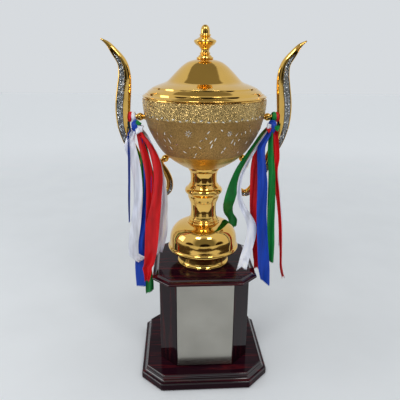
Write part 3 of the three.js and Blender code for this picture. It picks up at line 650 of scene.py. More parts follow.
def bowl_radius(height):
    """The bowl's outer radius and the slope of its side at a height in mm."""
    rows = bowl_outline()
    for (r0, z0), (r1, z1) in zip(rows, rows[1:]):
        if z1 >= height:
            t = (height - z0) / (z1 - z0)
            return r0 + (r1 - r0) * t, math.atan2(r1 - r0, z1 - z0)
    return rows[-1][0], 0.0


class TROPHY_OT_bowl(bpy.types.Operator):
    """Spins the bowl, with its satin underside, grained sides and glittering band."""

    bl_idname = "trophy.bowl"
    bl_label = "Bowl"

    def execute(self, context):
        _, foot, head = span("bowl")
        outside = bowl_outline()
        mouth = outside[-1][0] - 0.9
        inside = [[r - WALL, z + 0.5] for r, z in outside if foot + 4 < z < head - 8]
        loop = [row for row in outside if row[1] < head - 2.6] + [
            [mouth + 0.9, head - 2.4], [mouth - 1.2, head - 2], [mouth - 1.4, head], [mouth - 3.4, head],
            [mouth - 3.9, head - 0.8],
            [mouth - 3.9, head - 3], [mouth - 2.2, head - 5.4],
        ] + inside[::-1] + [[30, foot + 1.7], [HOLE, foot + 1.7], [HOLE, foot]]
        points, faces = lathe(eased(loop, 0.5), sizes().sides)
        skins = ["satin_gilt", "granular_gilt", "sparkling_gilt", "polished_gilt_brass"]
        made = piece("gilt_bowl", points, faces, skins, "trophy", "granular_gold", ["bowl"])
        for face in made.data.polygons:
            height = face.center.z / MM
            outward = Vector((face.center.x, face.center.y, 0)).dot(face.normal) > 0
            skin = 0 if height < foot + SATIN_TO else 1 if height < foot + SPARKLE_FROM else 2
            face.material_index = skin if outward and height < head - 1 else 3
        return {"FINISHED"}


# Cut leaves of one motif: degrees round from its middle, mm above the bowl's foot, mm long, and
# degrees of lean from upright. The same motif repeats all round the bowl.
LEAVES = [
    (-48, 57, 10, -18), (-44, 68, 8, 20), (-41, 57, 13, -12), (-43, 44, 9, -20), (-33, 52, 7, 65),
    (-37, 66, 7, -30), (0, 74, 8, 40), (-6, 61, 8, 60), (-2, 65, 6, -35), (3, 59, 9, 30),
    (4, 52, 12, 14), (7, 63, 9, 20), (25, 58, 11, 16), (29, 54, 9, -6), (33, 60, 7, 32),
    (28, 69, 8, 26), (34, 70, 8, 24), (38, 71, 7, -28), (45, 73, 8, -20), (19, 47, 8, 22),
    (17, 41, 8, 24), (-14, 50, 6, 72), (-8, 49, 7, -45), (-19, 48, 6, 80), (-26, 40, 8, -50),
    (-13, 37, 8, 28), (-15, 32, 5, 60), (41, 37, 5, 30), (47, 53, 9, 12), (42, 80, 6, 12),
    (53, 66, 7, -15), (57, 52, 10, 20), (-56, 66, 8, 18), (-53, 47, 8, -30), (12, 77, 6, -50),
]
FLOWERS = [(-18, 71, 6.2), (20, 71, 4.6)]  # degrees round, mm up, mm from middle to petal tip
PETALS = 8
# The ring of dashes: mm above the bowl's foot, mm that the dashes step up and down by turns, their
# length and width, and the lean of each in turn.
RING_UP, RING_STEP, DASH_LONG, DASH_WIDE, DASH_LEANS = 90.5, 1.1, 5.2, 2.0, (112, 68)


def on_bowl(turn, height, proud):
    """A frame on the bowl's side: its middle, and its upright, level and outward directions."""
    radius, slope = bowl_radius(height)
    angle = math.radians(turn) - math.pi / 2
    out = Vector((math.cos(angle), math.sin(angle), 0))
    level = Vector((-math.sin(angle), math.cos(angle), 0))
    upright = (out * math.sin(slope) + Vector((0, 0, math.cos(slope)))).normalized()
    normal = level.cross(upright)
    return out * radius + Vector((0, 0, height)) + normal * proud, upright, level, normal


def cut_leaf(turn, height, long, lean, wide, proud=0.32):
    """A leaf-shaped cut: a low ridge with pointed ends, sunk into the bowl below."""
    middle, upright, level, normal = on_bowl(turn, height, 0)
    lean = math.radians(lean)
    run = upright * math.cos(lean) + level * math.sin(lean)
    side = run.cross(normal)
    outline = [(-0.5, 0), (-0.22, 0.5), (0.12, 0.46), (0.5, 0), (0.12, -0.46), (-0.22, -0.5)]
    rim = [middle + run * (u * long) + side * (v * wide) + normal * 0.05 for u, v in outline]
    ridge = [middle + run * (u * long) + normal * proud for u in (-0.2, 0.1)]
    under = [middle + run * (u * long) - normal * 0.6 for u in (-0.2, 0.1)]
    faces = []
    for near, far in ((6, 7), (8, 9)):
        faces += [[0, 1, near], [1, 2, far, near], [2, 3, far], [3, 4, far], [4, 5, near, far], [5, 0, near]]
    return rim + ridge + under, faces


class TROPHY_OT_cuts(bpy.types.Operator):
    """Cuts the bright leaves, the flowers and the ring of dashes into the bowl."""

    bl_idname = "trophy.cuts"
    bl_label = "Bright cuts"

    def execute(self, context):
        _, foot, _ = span("bowl")
        parts = []
        for i in range(sizes().motifs):
            around = 360 * i / sizes().motifs
            for turn, up, long, lean in LEAVES:
                parts.append(cut_leaf(turn + around, foot + up, long * 0.9, lean, 1.6))
            for turn, up, reach in FLOWERS:
                for petal in range(PETALS):
                    angle = math.radians(360 / PETALS * petal + 12)
                    radius, _ = bowl_radius(foot + up)
                    aside = math.degrees(math.sin(angle) * reach * 0.6 / radius)
                    rise = math.cos(angle) * reach * 0.6
                    parts.append(cut_leaf(
                        turn + around + aside, foot + up + rise, reach * 0.85, math.degrees(angle), 1.2
                    ))
        piece("bright_cut_leaves", *gathered(parts), ["bright_cut_brass"], "trophy", "granular_gold", sharp=20)
        ring = []
        for i in range(sizes().dashes):
            lift = RING_STEP if i % 2 else -RING_STEP
            ring.append(cut_leaf(
                360 * i / sizes().dashes, foot + RING_UP + lift, DASH_LONG, DASH_LEANS[i % 2], DASH_WIDE
            ))
        piece("bright_cut_ring", *gathered(ring), ["bright_cut_brass"], "trophy", "granular_gold", sharp=20)
        return {"FINISHED"}


# ---- stem and foot ----
class TROPHY_OT_stem(bpy.types.Operator):
    """Spins the drum, the dome, the collar, both stems and the knop that carry the bowl."""

    bl_idname = "trophy.stem"
    bl_label = "Stem and foot"

    def execute(self, context):
        def spun(name, node, outline, bore=HOLE, **more):
            """Closes an outline of [radius, height] to the tie rod's bore and turns it."""
            loop = [[bore, outline[0][1]]] + outline + [[bore, outline[-1][1]]]
            return turned(name, loop, *GOLD, [node], **more)

        r, foot, head = span("foot_drum")
        high = head - foot
        spun("gilt_drum", "foot_drum", [
            [r - 0.4, foot], [r, foot + 0.7], [r - 0.3, foot + 1.7], *smooth([
                [r - 1.6, foot + 2.4], [r - 3.5, foot + high * 0.22], [r - 4.1, foot + high * 0.42],
                [r - 4.2, foot + high * 0.62], [r - 3.5, foot + high * 0.8], [r - 2.2, head - 1.5],
            ], 20), [r - 2, head],
        ])
        r, foot, head = span("foot_dome")
        high = head - foot
        inner = span("foot_drum")[0] - 6
        shoulder = smooth([
            [r * 0.963, foot + high * 0.18], [r * 0.959, foot + high * 0.25], [r * 0.949, foot + high * 0.42],
            [r * 0.918, foot + high * 0.6], [r * 0.84, foot + high * 0.78], [r * 0.72, foot + high * 0.91],
            [r * 0.57, foot + high * 0.975], [r * 0.43, head],
        ], 44)
        bead = smooth([
            [r - 3, foot], [r - 1.1, foot + 1.4], [r, foot + 4.2], [r - 0.9, foot + 7], [r - 2.6, foot + 8.6],
        ], 14)
        cavity = [[x - WALL, y - 1] for x, y in shoulder if y < head - 2][::-1]
        turned("gilt_dome", [
            *bead, *shoulder, [HOLE, head], [HOLE, head - WALL], [r * 0.4, head - WALL], *cavity,
            [r - 4, foot + WALL], [inner, foot + WALL], [inner, foot],
        ], *GOLD, ["foot_dome"], ease=0.35)
        r, foot, head = span("foot_collar")
        spun("gilt_collar", "foot_collar", [
            [r - 1, foot], *smooth([[r - 0.5, foot + 0.3], [r, foot + 1.6], [r - 0.8, foot + 3.1]], 8),
            [r - 2.5, foot + 3.5], [r - 2.5, foot + 5], *smooth([
                [r - 2, foot + 5.4], [r - 1.7, foot + 6.2], [r - 2.2, foot + 7.1],
            ], 6), [r - 3.3, head - 0.9], [r - 3.5, head],
        ], ease=0.3)
        r, foot, head = span("lower_stem")
        high = head - foot
        spun("gilt_lower_stem", "lower_stem", smooth([
            [r, foot], [r - 1.2, foot + high * 0.1], [r - 1.9, foot + high * 0.3],
            [r - 2.3, foot + high * 0.52],
            [r - 1.7, foot + high * 0.8], [r - 0.5, head],
        ], 24))
        r, foot, head = span("knop")
        high, neck = head - foot, span("lower_stem")[0]
        spun("gilt_knop", "knop", [
            [neck - 0.3, foot], *smooth([
                [neck + 0.4, foot + 0.6], [neck + 1.3, foot + high * 0.1], [neck + 2.9, foot + high * 0.24],
                [neck + 3.5, foot + high * 0.36],
            ], 10), [r - 4.2, foot + high * 0.4], *smooth([
                [r - 3.6, foot + high * 0.43], [r - 1, foot + high * 0.51], [r, foot + high * 0.61],
                [r - 0.8, foot + high * 0.71], [r - 3.2, foot + high * 0.79],
            ], 16), [r - 4.6, foot + high * 0.81], *smooth([
                [r - 5, foot + high * 0.84], [neck + 1.2, foot + high * 0.93], [neck - 0.4, head],
            ], 8),
        ], ease=0.3)
        r, foot, head = span("upper_stem")
        high = head - foot
        spun("gilt_upper_stem", "upper_stem", [*smooth([
            [r - 4.3, foot], [r - 4.9, foot + high * 0.1], [r - 5.1, foot + high * 0.3],
            [r - 4.9, foot + high * 0.5], [r - 3.6, foot + high * 0.74],
        ], 18), [r - 2.4, foot + high * 0.79], *smooth([
            [r - 1.9, foot + high * 0.82], [r - 0.6, foot + high * 0.9], [r - 0.2, head - 0.8], [r, head],
        ], 8)], ease=0.3)
        return {"FINISHED"}


# ---- lid ----
# The lid's outside, in mm in from the rim's radius and as a share of the height above the rim.
LID_EDGE = [(1.2, 0.008), (0.1, 0.02), (0.4, 0.036), (1.6, 0.052), (4.2, 0.078)]
LID_STEP = [(4.9, 0.084), (5.3, 0.066), (6.3, 0.06), (7.3, 0.068), (7.8, 0.125)]
LID_BRIM = [(8.8, 0.152), (12, 0.196), (14.6, 0.226), (15.6, 0.236)]
LID_GROOVE = [(15.9, 0.232), (16.3, 0.212), (17.1, 0.206), (18, 0.216), (18.4, 0.26)]
LID_CROWN = [
    (18.6, 0.272), (25, 0.316), (31, 0.353), (36.5, 0.385), (40.5, 0.421), (43.8, 0.471), (51, 0.6),
    (60.8, 0.767), (66.5, 0.85), (73.5, 0.928), (81, 0.973), (88, 1.0),
]


class TROPHY_OT_lid(bpy.types.Operator):
    """Spins the lid with its grooved brim and domed crown, and turns its finial and screw."""

    bl_idname = "trophy.lid"
    bl_label = "Lid"

    def execute(self, context):
        _, low, head = span("lid")
        rim = span("bowl")[2]
        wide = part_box("lid")[1].x / MM + 0.5
        high = head - rim

        def row(inset, share):
            return [wide - inset, rim + high * share]

        outside = [
            *smooth([row(*p) for p in LID_EDGE], 12), *smooth([row(*p) for p in LID_STEP], 10),
            *smooth([row(*p) for p in LID_BRIM], 10), *smooth([row(*p) for p in LID_GROOVE], 6),
            *smooth([row(*p) for p in LID_CROWN], 70),
        ]
        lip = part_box("bowl")[1].x / MM - 6
        inside = [[r - 0.8, z - WALL] for r, z in outside if r < lip - 2.4][::-1]
        turned("gilt_lid", outside + [
            [2.4, head], [2.4, head - WALL], *inside, [lip - WALL, rim + 2.4], [lip - WALL, low + 0.3],
            [lip - WALL + 0.5, low], [lip - 0.2, low], [lip, low + 0.4], [lip, rim + 0.25],
            [wide - 2.4, rim + 0.25],
        ], *LID_GOLD, ["lid"], ease=0.3)

        r, foot, tip = span("finial")
        high = tip - foot

        def at(radius, share):
            return [radius, foot + high * share]

        turned("gilt_finial", [
            [2.3, foot + 11], [2.3, foot], at(12.6, 0),
            *smooth([at(13.2, 0.01), at(13.6, 0.034), at(13.1, 0.062)], 8),
            at(11.4, 0.07), *smooth([at(11, 0.078), at(10.4, 0.1), at(8.6, 0.13)], 8), at(7.4, 0.14),
            *smooth([at(7.6, 0.148), at(8.6, 0.172), at(7.8, 0.2)], 8),
            *smooth([at(6.7, 0.212), at(6.6, 0.25), at(7, 0.29), at(8.6, 0.335), at(0.58 * r, 0.38)], 14),
            *smooth([at(0.64 * r, 0.39), at(0.8 * r, 0.43), at(0.89 * r, 0.475)], 10),
            *smooth([at(0.93 * r, 0.49), at(0.96 * r, 0.524), at(0.93 * r, 0.556)], 8),
            *smooth([at(0.86 * r, 0.57), at(0.66 * r, 0.604), at(0.46 * r, 0.65)], 12),
            at(7.6, 0.662), *smooth([at(8.6, 0.676), at(9.1, 0.7), at(8.6, 0.724)], 8), at(7.4, 0.735),
            *smooth([
                at(7.2, 0.75), at(7.2, 0.79), at(6.9, 0.85), at(6.2, 0.91), at(4.7, 0.956), at(2.6, 0.99),
                at(0, 1),
            ], 24), [0, foot + 12],
        ], *LID_GOLD, ["finial"], ease=0.25, sides=72)
        r, foot, head = span("finial_washer")
        turned("finial_washer_round", [[2.5, foot], [r, foot], [r, head], [2.5, head]], *LID_STEEL,
               ["finial_washer"], ease=0.2, sides=48)
        r, foot, head = span("finial_screw")
        turned("finial_screw_round", [
            [0, foot], *smooth([[1, foot], [3, foot + 0.2], [4, foot + 1.2], [r, foot + 2]], 8),
            [r, foot + 3],
            [2, foot + 3], [2, head - 0.6], [1.4, head], [0, head],
        ], *LID_STEEL, ["finial_screw"], ease=0.2, sides=40)
        return {"FINISHED"}


# ---- handles ----
# The horn's line from the tip down to the hooked foot: mm out and up from the low inner corner of
# its box, and its width there.
HORN = [
    [109.4, 258.2, 2], [98.4, 250.7, 7], [88.4, 238.2, 12], [77.9, 222.7, 15.5], [75, 204.2, 20],
    [76.6, 184.2, 23], [79, 164.2, 24.5], [80.2, 144.2, 24], [79.2, 122.2, 21], [72.9, 98.2, 18],
    [62.4, 76.2, 16], [49.3, 44.8, 15], [37.8, 21.8, 14], [22.3, 6.3, 12], [8.3, 11.8, 11.5],
    [5.8, 27.8, 11.5], [11.3, 43.8, 11], [19.3, 56.8, 10], [22.3, 66.8, 7],
]
HORN_THICK = 10  # mm
HORN_STEPS = 110  # rings of mesh along a horn, and along its inlay
# Half of the horn's section, as shares of its width and thickness, from the outer edge to the inner.
HORN_SECTION = [
    (0.5, 0.1), (0.493, 0.26), (0.475, 0.38), (0.45, 0.46), (0.42, 0.5), (0.405, 0.49), (0.395, 0.42),
    (0.2, 0.42), (-0.02, 0.42), (-0.03, 0.49), (-0.05, 0.505), (-0.1, 0.5), (-0.2, 0.465), (-0.3, 0.4),
    (-0.39, 0.3), (-0.46, 0.18), (-0.495, 0.06),
]
INLAY_SECTION = [
    (0.4, 0.2), (0.395, 0.46), (0.375, 0.51), (0.3, 0.545), (0.19, 0.555), (0.08, 0.545), (0, 0.51),
    (-0.02, 0.46), (-0.025, 0.2),
]
INLAY_SPAN = (0.105, 0.85)  # shares of the horn's length
INLAY_MIDDLE = 0.19  # share of the horn's width, from its middle, where the inlay's own middle lies
INLAY_TAPER = 0.08  # share of the inlay's length in which each end narrows
INLAY_END = 0.05  # share of its width that is left at its very end
# The spacers between the bowl and each horn: kind, its screw, mm above the bowl's foot, degrees of
# lean, mm long, and the ball's radius.
MOUNTS = [("post", "upper", 84.5, 0, 24, 6.5), ("boss", "lower", 19.5, -42, 14, 6.2)]


def horn_ring(share, section, squeeze=1.0):
    """One cross section of the horn's right-hand shape, in mm."""
    low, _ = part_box("handle_right")
    x, z, wide = curve_at(HORN, share)
    ahead, behind = curve_at(HORN, min(1, share + 0.004)), curve_at(HORN, max(0, share - 0.004))
    run = Vector((ahead[0] - behind[0], ahead[1] - behind[1])).normalized()
    across = Vector((-run.y, run.x))
    thick = HORN_THICK * min(1, 0.3 + share * 8)
    ring = []
    for half, sign in ((section, 1), (section[::-1], -1)):
        for u, v in half:
            reach = (INLAY_MIDDLE + (u - INLAY_MIDDLE) * squeeze) * wide
            ring.append((
                low.x / MM + x + across.x * reach, sign * v * thick, low.z / MM + z + across.y * reach,
            ))
    return ring


class TROPHY_OT_handles(bpy.types.Operator):
    """Builds the horn handles with their glitter inlays, and the turned posts, bosses and screws."""

    bl_idname = "trophy.handles"
    bl_label = "Handles"

    def execute(self, context):
        horn = [horn_ring(i / HORN_STEPS, HORN_SECTION) for i in range(HORN_STEPS + 1)]
        first, last = INLAY_SPAN
        inlay = []
        for i in range(HORN_STEPS + 1):
            t = i / HORN_STEPS
            narrow = math.sin(math.pi * min(t, INLAY_TAPER, 1 - t) / (2 * INLAY_TAPER))
            inlay.append(horn_ring(first + (last - first) * t, INLAY_SECTION, max(INLAY_END, narrow)))
        for side, sign in SIDES.items():
            def mirrored(shape):
                """The right-hand shape, turned over for the left side."""
                points, faces = shape
                return [Vector((p[0] * sign, p[1], p[2])) for p in points], faces

            skin, body, slot = GOLD
            piece(f"gilt_horn_{side}", *mirrored(loft(horn)), [skin], body, slot, [f"handle_{side}"], sharp=50)
            piece(f"glitter_inlay_{side}", *mirrored(loft(inlay)), ["glitter_film"], "trophy", "glitter",
                  [f"handle_inlay_{side}"], sharp=50)
            self.mounts(side, sign)
        return {"FINISHED"}

    def mounts(self, side, sign):
        """Turns the post and the boss of one side, with their screws."""
        foot = span("bowl")[1]
        for kind, screw, up, lean, long, ball in MOUNTS:
            radius, _ = bowl_radius(foot + up)
            place = (
                Matrix.Diagonal((sign, 1, 1, 1)) @ Matrix.Translation((radius - 0.4, 0, foot + up))
                @ Matrix.Rotation(math.radians(90 - lean), 4, "Y")
            )
            middle, neck = max(long * 0.36, 7.7), ball * 0.62
            swell = smooth([
                [neck, middle - 5.2], [neck + 0.5, middle - 4.4], [ball * 0.86, middle - 3.2], [ball, middle],
                [ball * 0.86, middle + 3.2], [neck + 0.5, middle + 4.4], [neck, middle + 5.2],
            ], 24)
            # The longer post has a ring beyond its ball, and the boss has no room for one.
            ring = [
                [neck * 0.94, long * 0.72], [neck * 1.12, long * 0.78], [neck * 1.12, long * 0.86],
                [neck * 0.94, long * 0.92],
            ] if kind == "post" else []
            end = long + 3
            turned(f"turned_{kind}_{side}", [
                [2.1, -2], [ball * 0.84, -2], [ball * 0.84, 1], [ball * 0.7, 1.6], [neck, 2.2], *swell,
                *ring, [neck * 0.94, end], [2.1, end],
            ], *GOLD, [f"handle_{kind}_{side}"], ease=0.4, sides=56, place=place)
            seat = -WALL - 1.5
            turned(f"screw_{screw}_{side}", [
                [0, seat - 1.5], [1.1, seat - 1.5], [1.3, seat - 2.2], *smooth([
                    [1.8, seat - 2.2], [3.1, seat - 1.9], [3.9, seat - 1.1], [4, seat - 0.2],
                ], 8), [4, seat], [1.8, seat], [1.8, long + 4], [0, long + 5],
            ], *STEEL, [f"handle_{screw}_screw_{side}"], ease=0.15, sides=40, place=place)


# ---- plinth ----
BASE_CORNER, TOP_CORNER = 35.8, 26.6  # mm that the boards' corners are cut back along each side
BOARD_THICK, BOARD_GAP = 6, 0.25  # mm, of the column's boards and of the joint between two
EDGE_SLOPE = (0.25, 0.94)  # the upward share of an edge's normal, between which it gleams


class TROPHY_OT_plinth(bpy.types.Operator):
    """Builds the moulded base, the eight boards of the column, the top board and the feet."""

    bl_idname = "trophy.plinth"
    bl_label = "Plinth"

    def execute(self, context):
        wood = ("trophy", "lacquer")
        skins = ["lacquered_rosewood_level", "lacquered_rosewood_edge"]
        half, foot, head = span("plinth_base")
        ledge = foot + (head - foot) * 0.53
        rows = eased([(v, w, 0) for v, w in [
            (6, foot), (0.6, foot), (0, foot + 0.8), (0, ledge - 1.6), (0.5, ledge - 0.3), (1.6, ledge + 0.4),
            (4.6, ledge + 1.2), (6.4, ledge + 2.2), (7.8, ledge + 4), (8.5, ledge + 6.2), (8.6, head - 3.2),
            (9.2, head - 1.1), (10.4, head - 0.15), (12.5, head),
        ]], 0.8)
        rings = [inset_octagon(half, BASE_CORNER, inset, height) for inset, height, _ in rows]
        self.gleam(piece("lacquered_base", *loft(rings), skins, *wood, ["plinth_base"]))

        half, foot, head = span("plinth_top_board")
        rows = [
            (3.6, foot), (1.6, foot + 0.25), (0.5, foot + 1), (0, foot + 2.2), (0.3, foot + 3.4),
            (1.4, foot + 4.3), (3, foot + 4.7), (5.4, foot + 5.1), (7.2, foot + 5.8), (8.3, foot + 6.8),
            (8.9, head - 0.9), (9.9, head - 0.2), (11.5, head),
        ]
        rings = [inset_octagon(half, TOP_CORNER, inset, height) for inset, height in rows]
        bore = HOLE * math.cos(math.pi / 8)
        for height in (head, foot):
            rings.append(octagon(bore, bore * (2 - math.sqrt(2)), height, 0.5))
        self.gleam(piece("lacquered_top_board", *loft(rings, closed=True), skins, *wood, ["plinth_top_board"]))
        self.column()
        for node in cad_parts:
            if node.startswith(("foot_front", "foot_back")):
                low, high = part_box(node)
                middle = (low + high) / 2 / MM
                radius, tall = (high.x - low.x) / 2 / MM, high.z / MM
                turned(f"rubber_{node}", [
                    [0, 0], [radius - 1.4, 0], [radius - 0.2, 1], [radius, tall], [0, tall],
                ], "moulded_rubber", "trophy", "rubber", [node], ease=0.5, sides=48,
                    place=Matrix.Translation((middle.x, middle.y, 0)))
        return {"FINISHED"}

    def gleam(self, board):
        """Gives a board's rounded edges, which face up and out, the thicker lacquer."""
        least, most = EDGE_SLOPE
        for face in board.data.polygons:
            face.material_index = 1 if least < face.normal.z < most else 0

    def column(self):
        """Builds each board upright and mitred, with eased edges, in the place of its node."""
        mitre = math.tan(math.pi / 8)
        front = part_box("column_front_panel")
        flat, face = (front[1].x - front[0].x) / MM + 2 * 0.15, -front[0].y / MM
        corner = face - flat / 2
        foot, head = front[0].z / MM, front[1].z / MM
        names = [
            "column_right_panel", "column_back_right_post", "column_back_panel", "column_back_left_post",
            "column_left_panel", "column_front_left_post", "column_front_panel", "column_front_right_post",
        ]
        for i, node in enumerate(names):
            wide = corner * math.sqrt(2) if i % 2 else flat
            out = (2 * face - corner) / math.sqrt(2) if i % 2 else face
            outer = wide / 2 - BOARD_GAP / 2
            inner = outer - BOARD_THICK * mitre
            outline = eased([
                (out - BOARD_THICK, -inner, 0), (out, -outer, 0), (out, outer, 0),
                (out - BOARD_THICK, inner, 0),
            ], 0.9)
            place = Matrix.Rotation(i * math.pi / 4, 4, "Z")
            rings = [[place @ Vector((x, y, z)) for x, y, _ in outline] for z in (foot, head)]
            piece(f"lacquered_{node}", *loft(rings), ["lacquered_rosewood_upright"], "trophy", "lacquer",
                  [node], sharp=60)


class TROPHY_OT_nameplate(bpy.types.Operator):
    """Cuts the nameplate with its bright bevelled edge."""

    bl_idname = "trophy.nameplate"
    bl_label = "Nameplate"

    def execute(self, context):
        low, high = (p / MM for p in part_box("nameplate"))
        corner = 1.2

        def ring(inset, y):
            """An upright rectangle with rounded corners."""
            x0, x1, z0, z1 = low.x + inset, high.x - inset, low.z + inset, high.z - inset
            return eased([(x0, y, z0), (x0, y, z1), (x1, y, z1), (x1, y, z0)], corner)

        rings = [
            ring(0, high.y), ring(0, low.y + 0.75), ring(0.12, low.y + 0.5), ring(0.75, low.y + 0.08),
            ring(1.0, low.y),
        ]
        piece("brushed_nameplate", *loft(rings), ["brushed_nickel_plate"], "trophy", "nameplate_metal",
              ["nameplate"], sharp=60)
        return {"FINISHED"}


class TROPHY_OT_hardware(bpy.types.Operator):
    """Turns the tie rod with its washers and nuts."""

    bl_idname = "trophy.hardware"
    bl_label = "Hardware"

    def execute(self, context):
        radius, foot, head = span("tie_rod")
        pitch = 0.8
        outline = [[0, foot], [radius - 0.6, foot]]
        threads = 16
        for i in range(threads):
            outline += [[radius, foot + 0.6 + pitch * i], [radius - 0.4, foot + 0.6 + pitch * (i + 0.5)]]
        for i in range(threads, 0, -1):
            outline += [[radius, head - 0.6 - pitch * i], [radius - 0.4, head - 0.6 - pitch * (i - 0.5)]]
        turned("threaded_tie_rod", outline + [[radius - 0.6, head], [0, head]], *STEEL, ["tie_rod"], ease=0.01,
               sides=32)
        for end in ("upper", "lower"):
            wide, foot, head = span(f"rod_{end}_washer")
            turned(f"washer_{end}", [[HOLE, foot], [wide, foot], [wide, head], [HOLE, head]], *STEEL,
                   [f"rod_{end}_washer"], ease=0.3, sides=64)
            wide, foot, head = span(f"rod_{end}_nut")
            self.nut(end, wide, foot, head, radius + 0.1)
        return {"FINISHED"}

    def nut(self, end, wide, foot, head, bore):
        """A six-sided nut whose corners are chamfered."""
        count = 48
        skin, body, slot = STEEL

        def ring(height, round_to):
            """A hexagon whose corners stand out no further than this radius."""
            out = []
            for i in range(count):
                angle = 2 * math.pi * i / count
                sixth = (angle % (math.pi / 3)) - math.pi / 6
                flat = wide * math.cos(math.pi / 6) / math.cos(sixth)
                radius = min(flat, round_to)
                out.append((radius * math.cos(angle), radius * math.sin(angle), height))
            return out

        flats = wide * math.cos(math.pi / 6)
        rings = [ring(foot, bore), ring(foot, flats), ring(foot + 0.5, wide), ring(head - 0.5, wide),
                 ring(head, flats), ring(head, bore)]
        piece(f"hex_nut_{end}", *loft(rings, closed=True), [skin], body, slot, [f"rod_{end}_nut"], sharp=25)


# ---- ribbons ----
COLUMNS = 24  # of mesh across a ribbon
DEEPEST = 3.2  # mm that a fold may stand to each side of the ribbon's middle
WIDE_FROM = 19  # mm: a tail whose frame node is wider is cut from the wide ribbon
TAKEN_UP = 0.86  # share of the flat width that the folds take up, where they are deep enough
NOTCH = 7  # mm deep, in a tail whose end is notched
FRAY = 1.8  # mm that a cut end is ragged by
TAIL_STEP = 3.5  # mm of a tail between two rows of mesh


def tail_rows(node):
    """The rows [x, y, z, width] of a hanging tail, from its frame node's level cuts, in mm."""
    levels = {}
    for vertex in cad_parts[node].data.vertices:
        levels.setdefault(round(vertex.co.z / MM, 1), []).append(vertex.co / MM)
    rows = []
    for level in sorted(levels, reverse=True):
        ring = levels[level]
        xs, ys = [p.x for p in ring], [p.y for p in ring]
        rows.append([(min(xs) + max(xs)) / 2, (min(ys) + max(ys)) / 2, level, max(xs) - min(xs)])
    return rows


# How the real ribbon lies in its frame node: share of the node's width at the top and at the end,
# and mm to the right.
DRAPE = {
    "ribbon_white_front_left": (1.1, 1.15, 0), "ribbon_blue_front_left": (0.45, 0.35, -3.5),
    "ribbon_blue_back_left": (0.9, 1.35, 0), "ribbon_white_back_left": (0.9, 1.25, 0),
    "ribbon_green_back_right": (1.1, 1.45, 0), "ribbon_white_front_right": (0.6, 1.3, 0),
    "ribbon_red_back_right": (1.35, 0.8, 0), "ribbon_green_front_right": (0.9, 1.4, 0),
    "ribbon_blue_front_right": (1.0, 1.1, 0),
}
FLICK = {"ribbon_white_front_left": 15}  # mm that the end is blown aside, and about half of it up
FLICK_FROM, FLICK_OVER = 0.93, 0.07  # shares of the tail's length where the flick begins, and that it takes


def section(width, cloth, waves, phase):
    """The folded cross section of a ribbon as [across, depth], its depth chosen for the cloth it holds."""
    def shape(depth):
        return [
            (width * (i / COLUMNS - 0.5), depth * math.sin(math.pi * waves * i / COLUMNS + phase))
            for i in range(COLUMNS + 1)
        ]

    def length(depth):
        run = shape(depth)
        return sum(math.dist(a, b) for a, b in zip(run, run[1:]))

    low, high = 0.0, DEEPEST
    for _ in range(14):
        middle = (low + high) / 2
        low, high = (middle, high) if length(middle) < cloth else (low, middle)
    return shape(low)


def strip(name, rows, colour, nodes, cloth):
    """A thin closed cloth piece from rows of points across it, in mm. Returns it unsmoothed."""
    count = len(rows[0])
    points = [Vector(p) * MM for row in rows for p in row]
    faces = [
        [i * count + j, i * count + j + 1, (i + 1) * count + j + 1, (i + 1) * count + j]
        for i in range(len(rows) - 1) for j in range(count - 1)
    ]
    mesh = bpy.data.meshes.new(name)
    mesh.from_pydata(points, [], faces)
    mesh.polygons.foreach_set("use_smooth", [True] * len(mesh.polygons))
    mesh.materials.append(finish(f"polyester_satin_{colour}"))
    made = placed(name, mesh)
    thick = made.modifiers.new("Cloth thickness", "SOLIDIFY")
    thick.thickness, thick.offset = cloth, 0.0
    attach(made, "trophy")
    if nodes:
        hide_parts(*nodes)
    return made


def build_tail(node, knot, draw):
    """Hangs one tail: folded across, drifting along its length, and cut on the slant or in a notch."""
    rows = tail_rows(node)
    colour = node.split("_")[1]
    # The frame's tail starts under the knot. The ribbon itself goes on up into it, gathered.
    first = rows[0]
    rows.insert(0, [first[0] + (knot.x - first[0]) * 0.55, first[1] + 1.5, first[2] + 10, first[3] * 0.5])
    run = sum(math.dist(a[:3], b[:3]) for a, b in zip(rows, rows[1:]))
    widest = max(row[3] for row in rows)
    flat = (sizes().wide_ribbon if widest > WIDE_FROM else sizes().ribbon) / MM
    average = sum(row[3] for row in rows) / len(rows)
    wide_top, wide_end, shift = DRAPE.get(node, (1, 1, 0))
    average *= (wide_top + wide_end) / 2
    # The narrower a tail hangs, the more often it is folded.
    waves = 1.6 if average > 14 else 2.2 if average > 9 else 3.0
    start, drift, sway = draw.uniform(0, 2), draw.uniform(1.5, 3.5), draw.uniform(-0.35, 0.35)
    cut, notch = draw.uniform(-7, 7), draw.random() < 0.35
    steps = max(30, int(run / TAIL_STEP))
    grid = []
    for i in range(steps + 1):
        t = i / steps
        x, y, z, width = curve_at(rows, t)
        width *= wide_top + (wide_end - wide_top) * t
        x += shift
        flick = FLICK.get(node, 0) * max(0.0, (t - FLICK_FROM) / FLICK_OVER)
        turn = sway * math.sin(3.1 * t + start)
        near_end = max(0.0, (t - 0.9) / 0.1)
        line = []
        folded = section(width * 0.98, flat * TAKEN_UP, waves, start + drift * t * math.pi)
        for j, (across, depth) in enumerate(folded):
            u = 2 * j / COLUMNS - 1
            slant = near_end * (NOTCH * (1 - abs(u)) if notch else cut * u)
            ragged = near_end**3 * FRAY * math.sin(2.4 * j + 3 * start)
            line.append((
                x + flick + across * math.cos(turn) - depth * math.sin(turn),
                y + across * math.sin(turn) * 0.35 + depth * math.cos(turn),
                z + slant + ragged + abs(flick) * 0.55,
            ))
        grid.append(line)
    made = strip(f"satin_{node}", grid, colour, [node], sizes().cloth)
    return made, (flat * MM, run * MM)


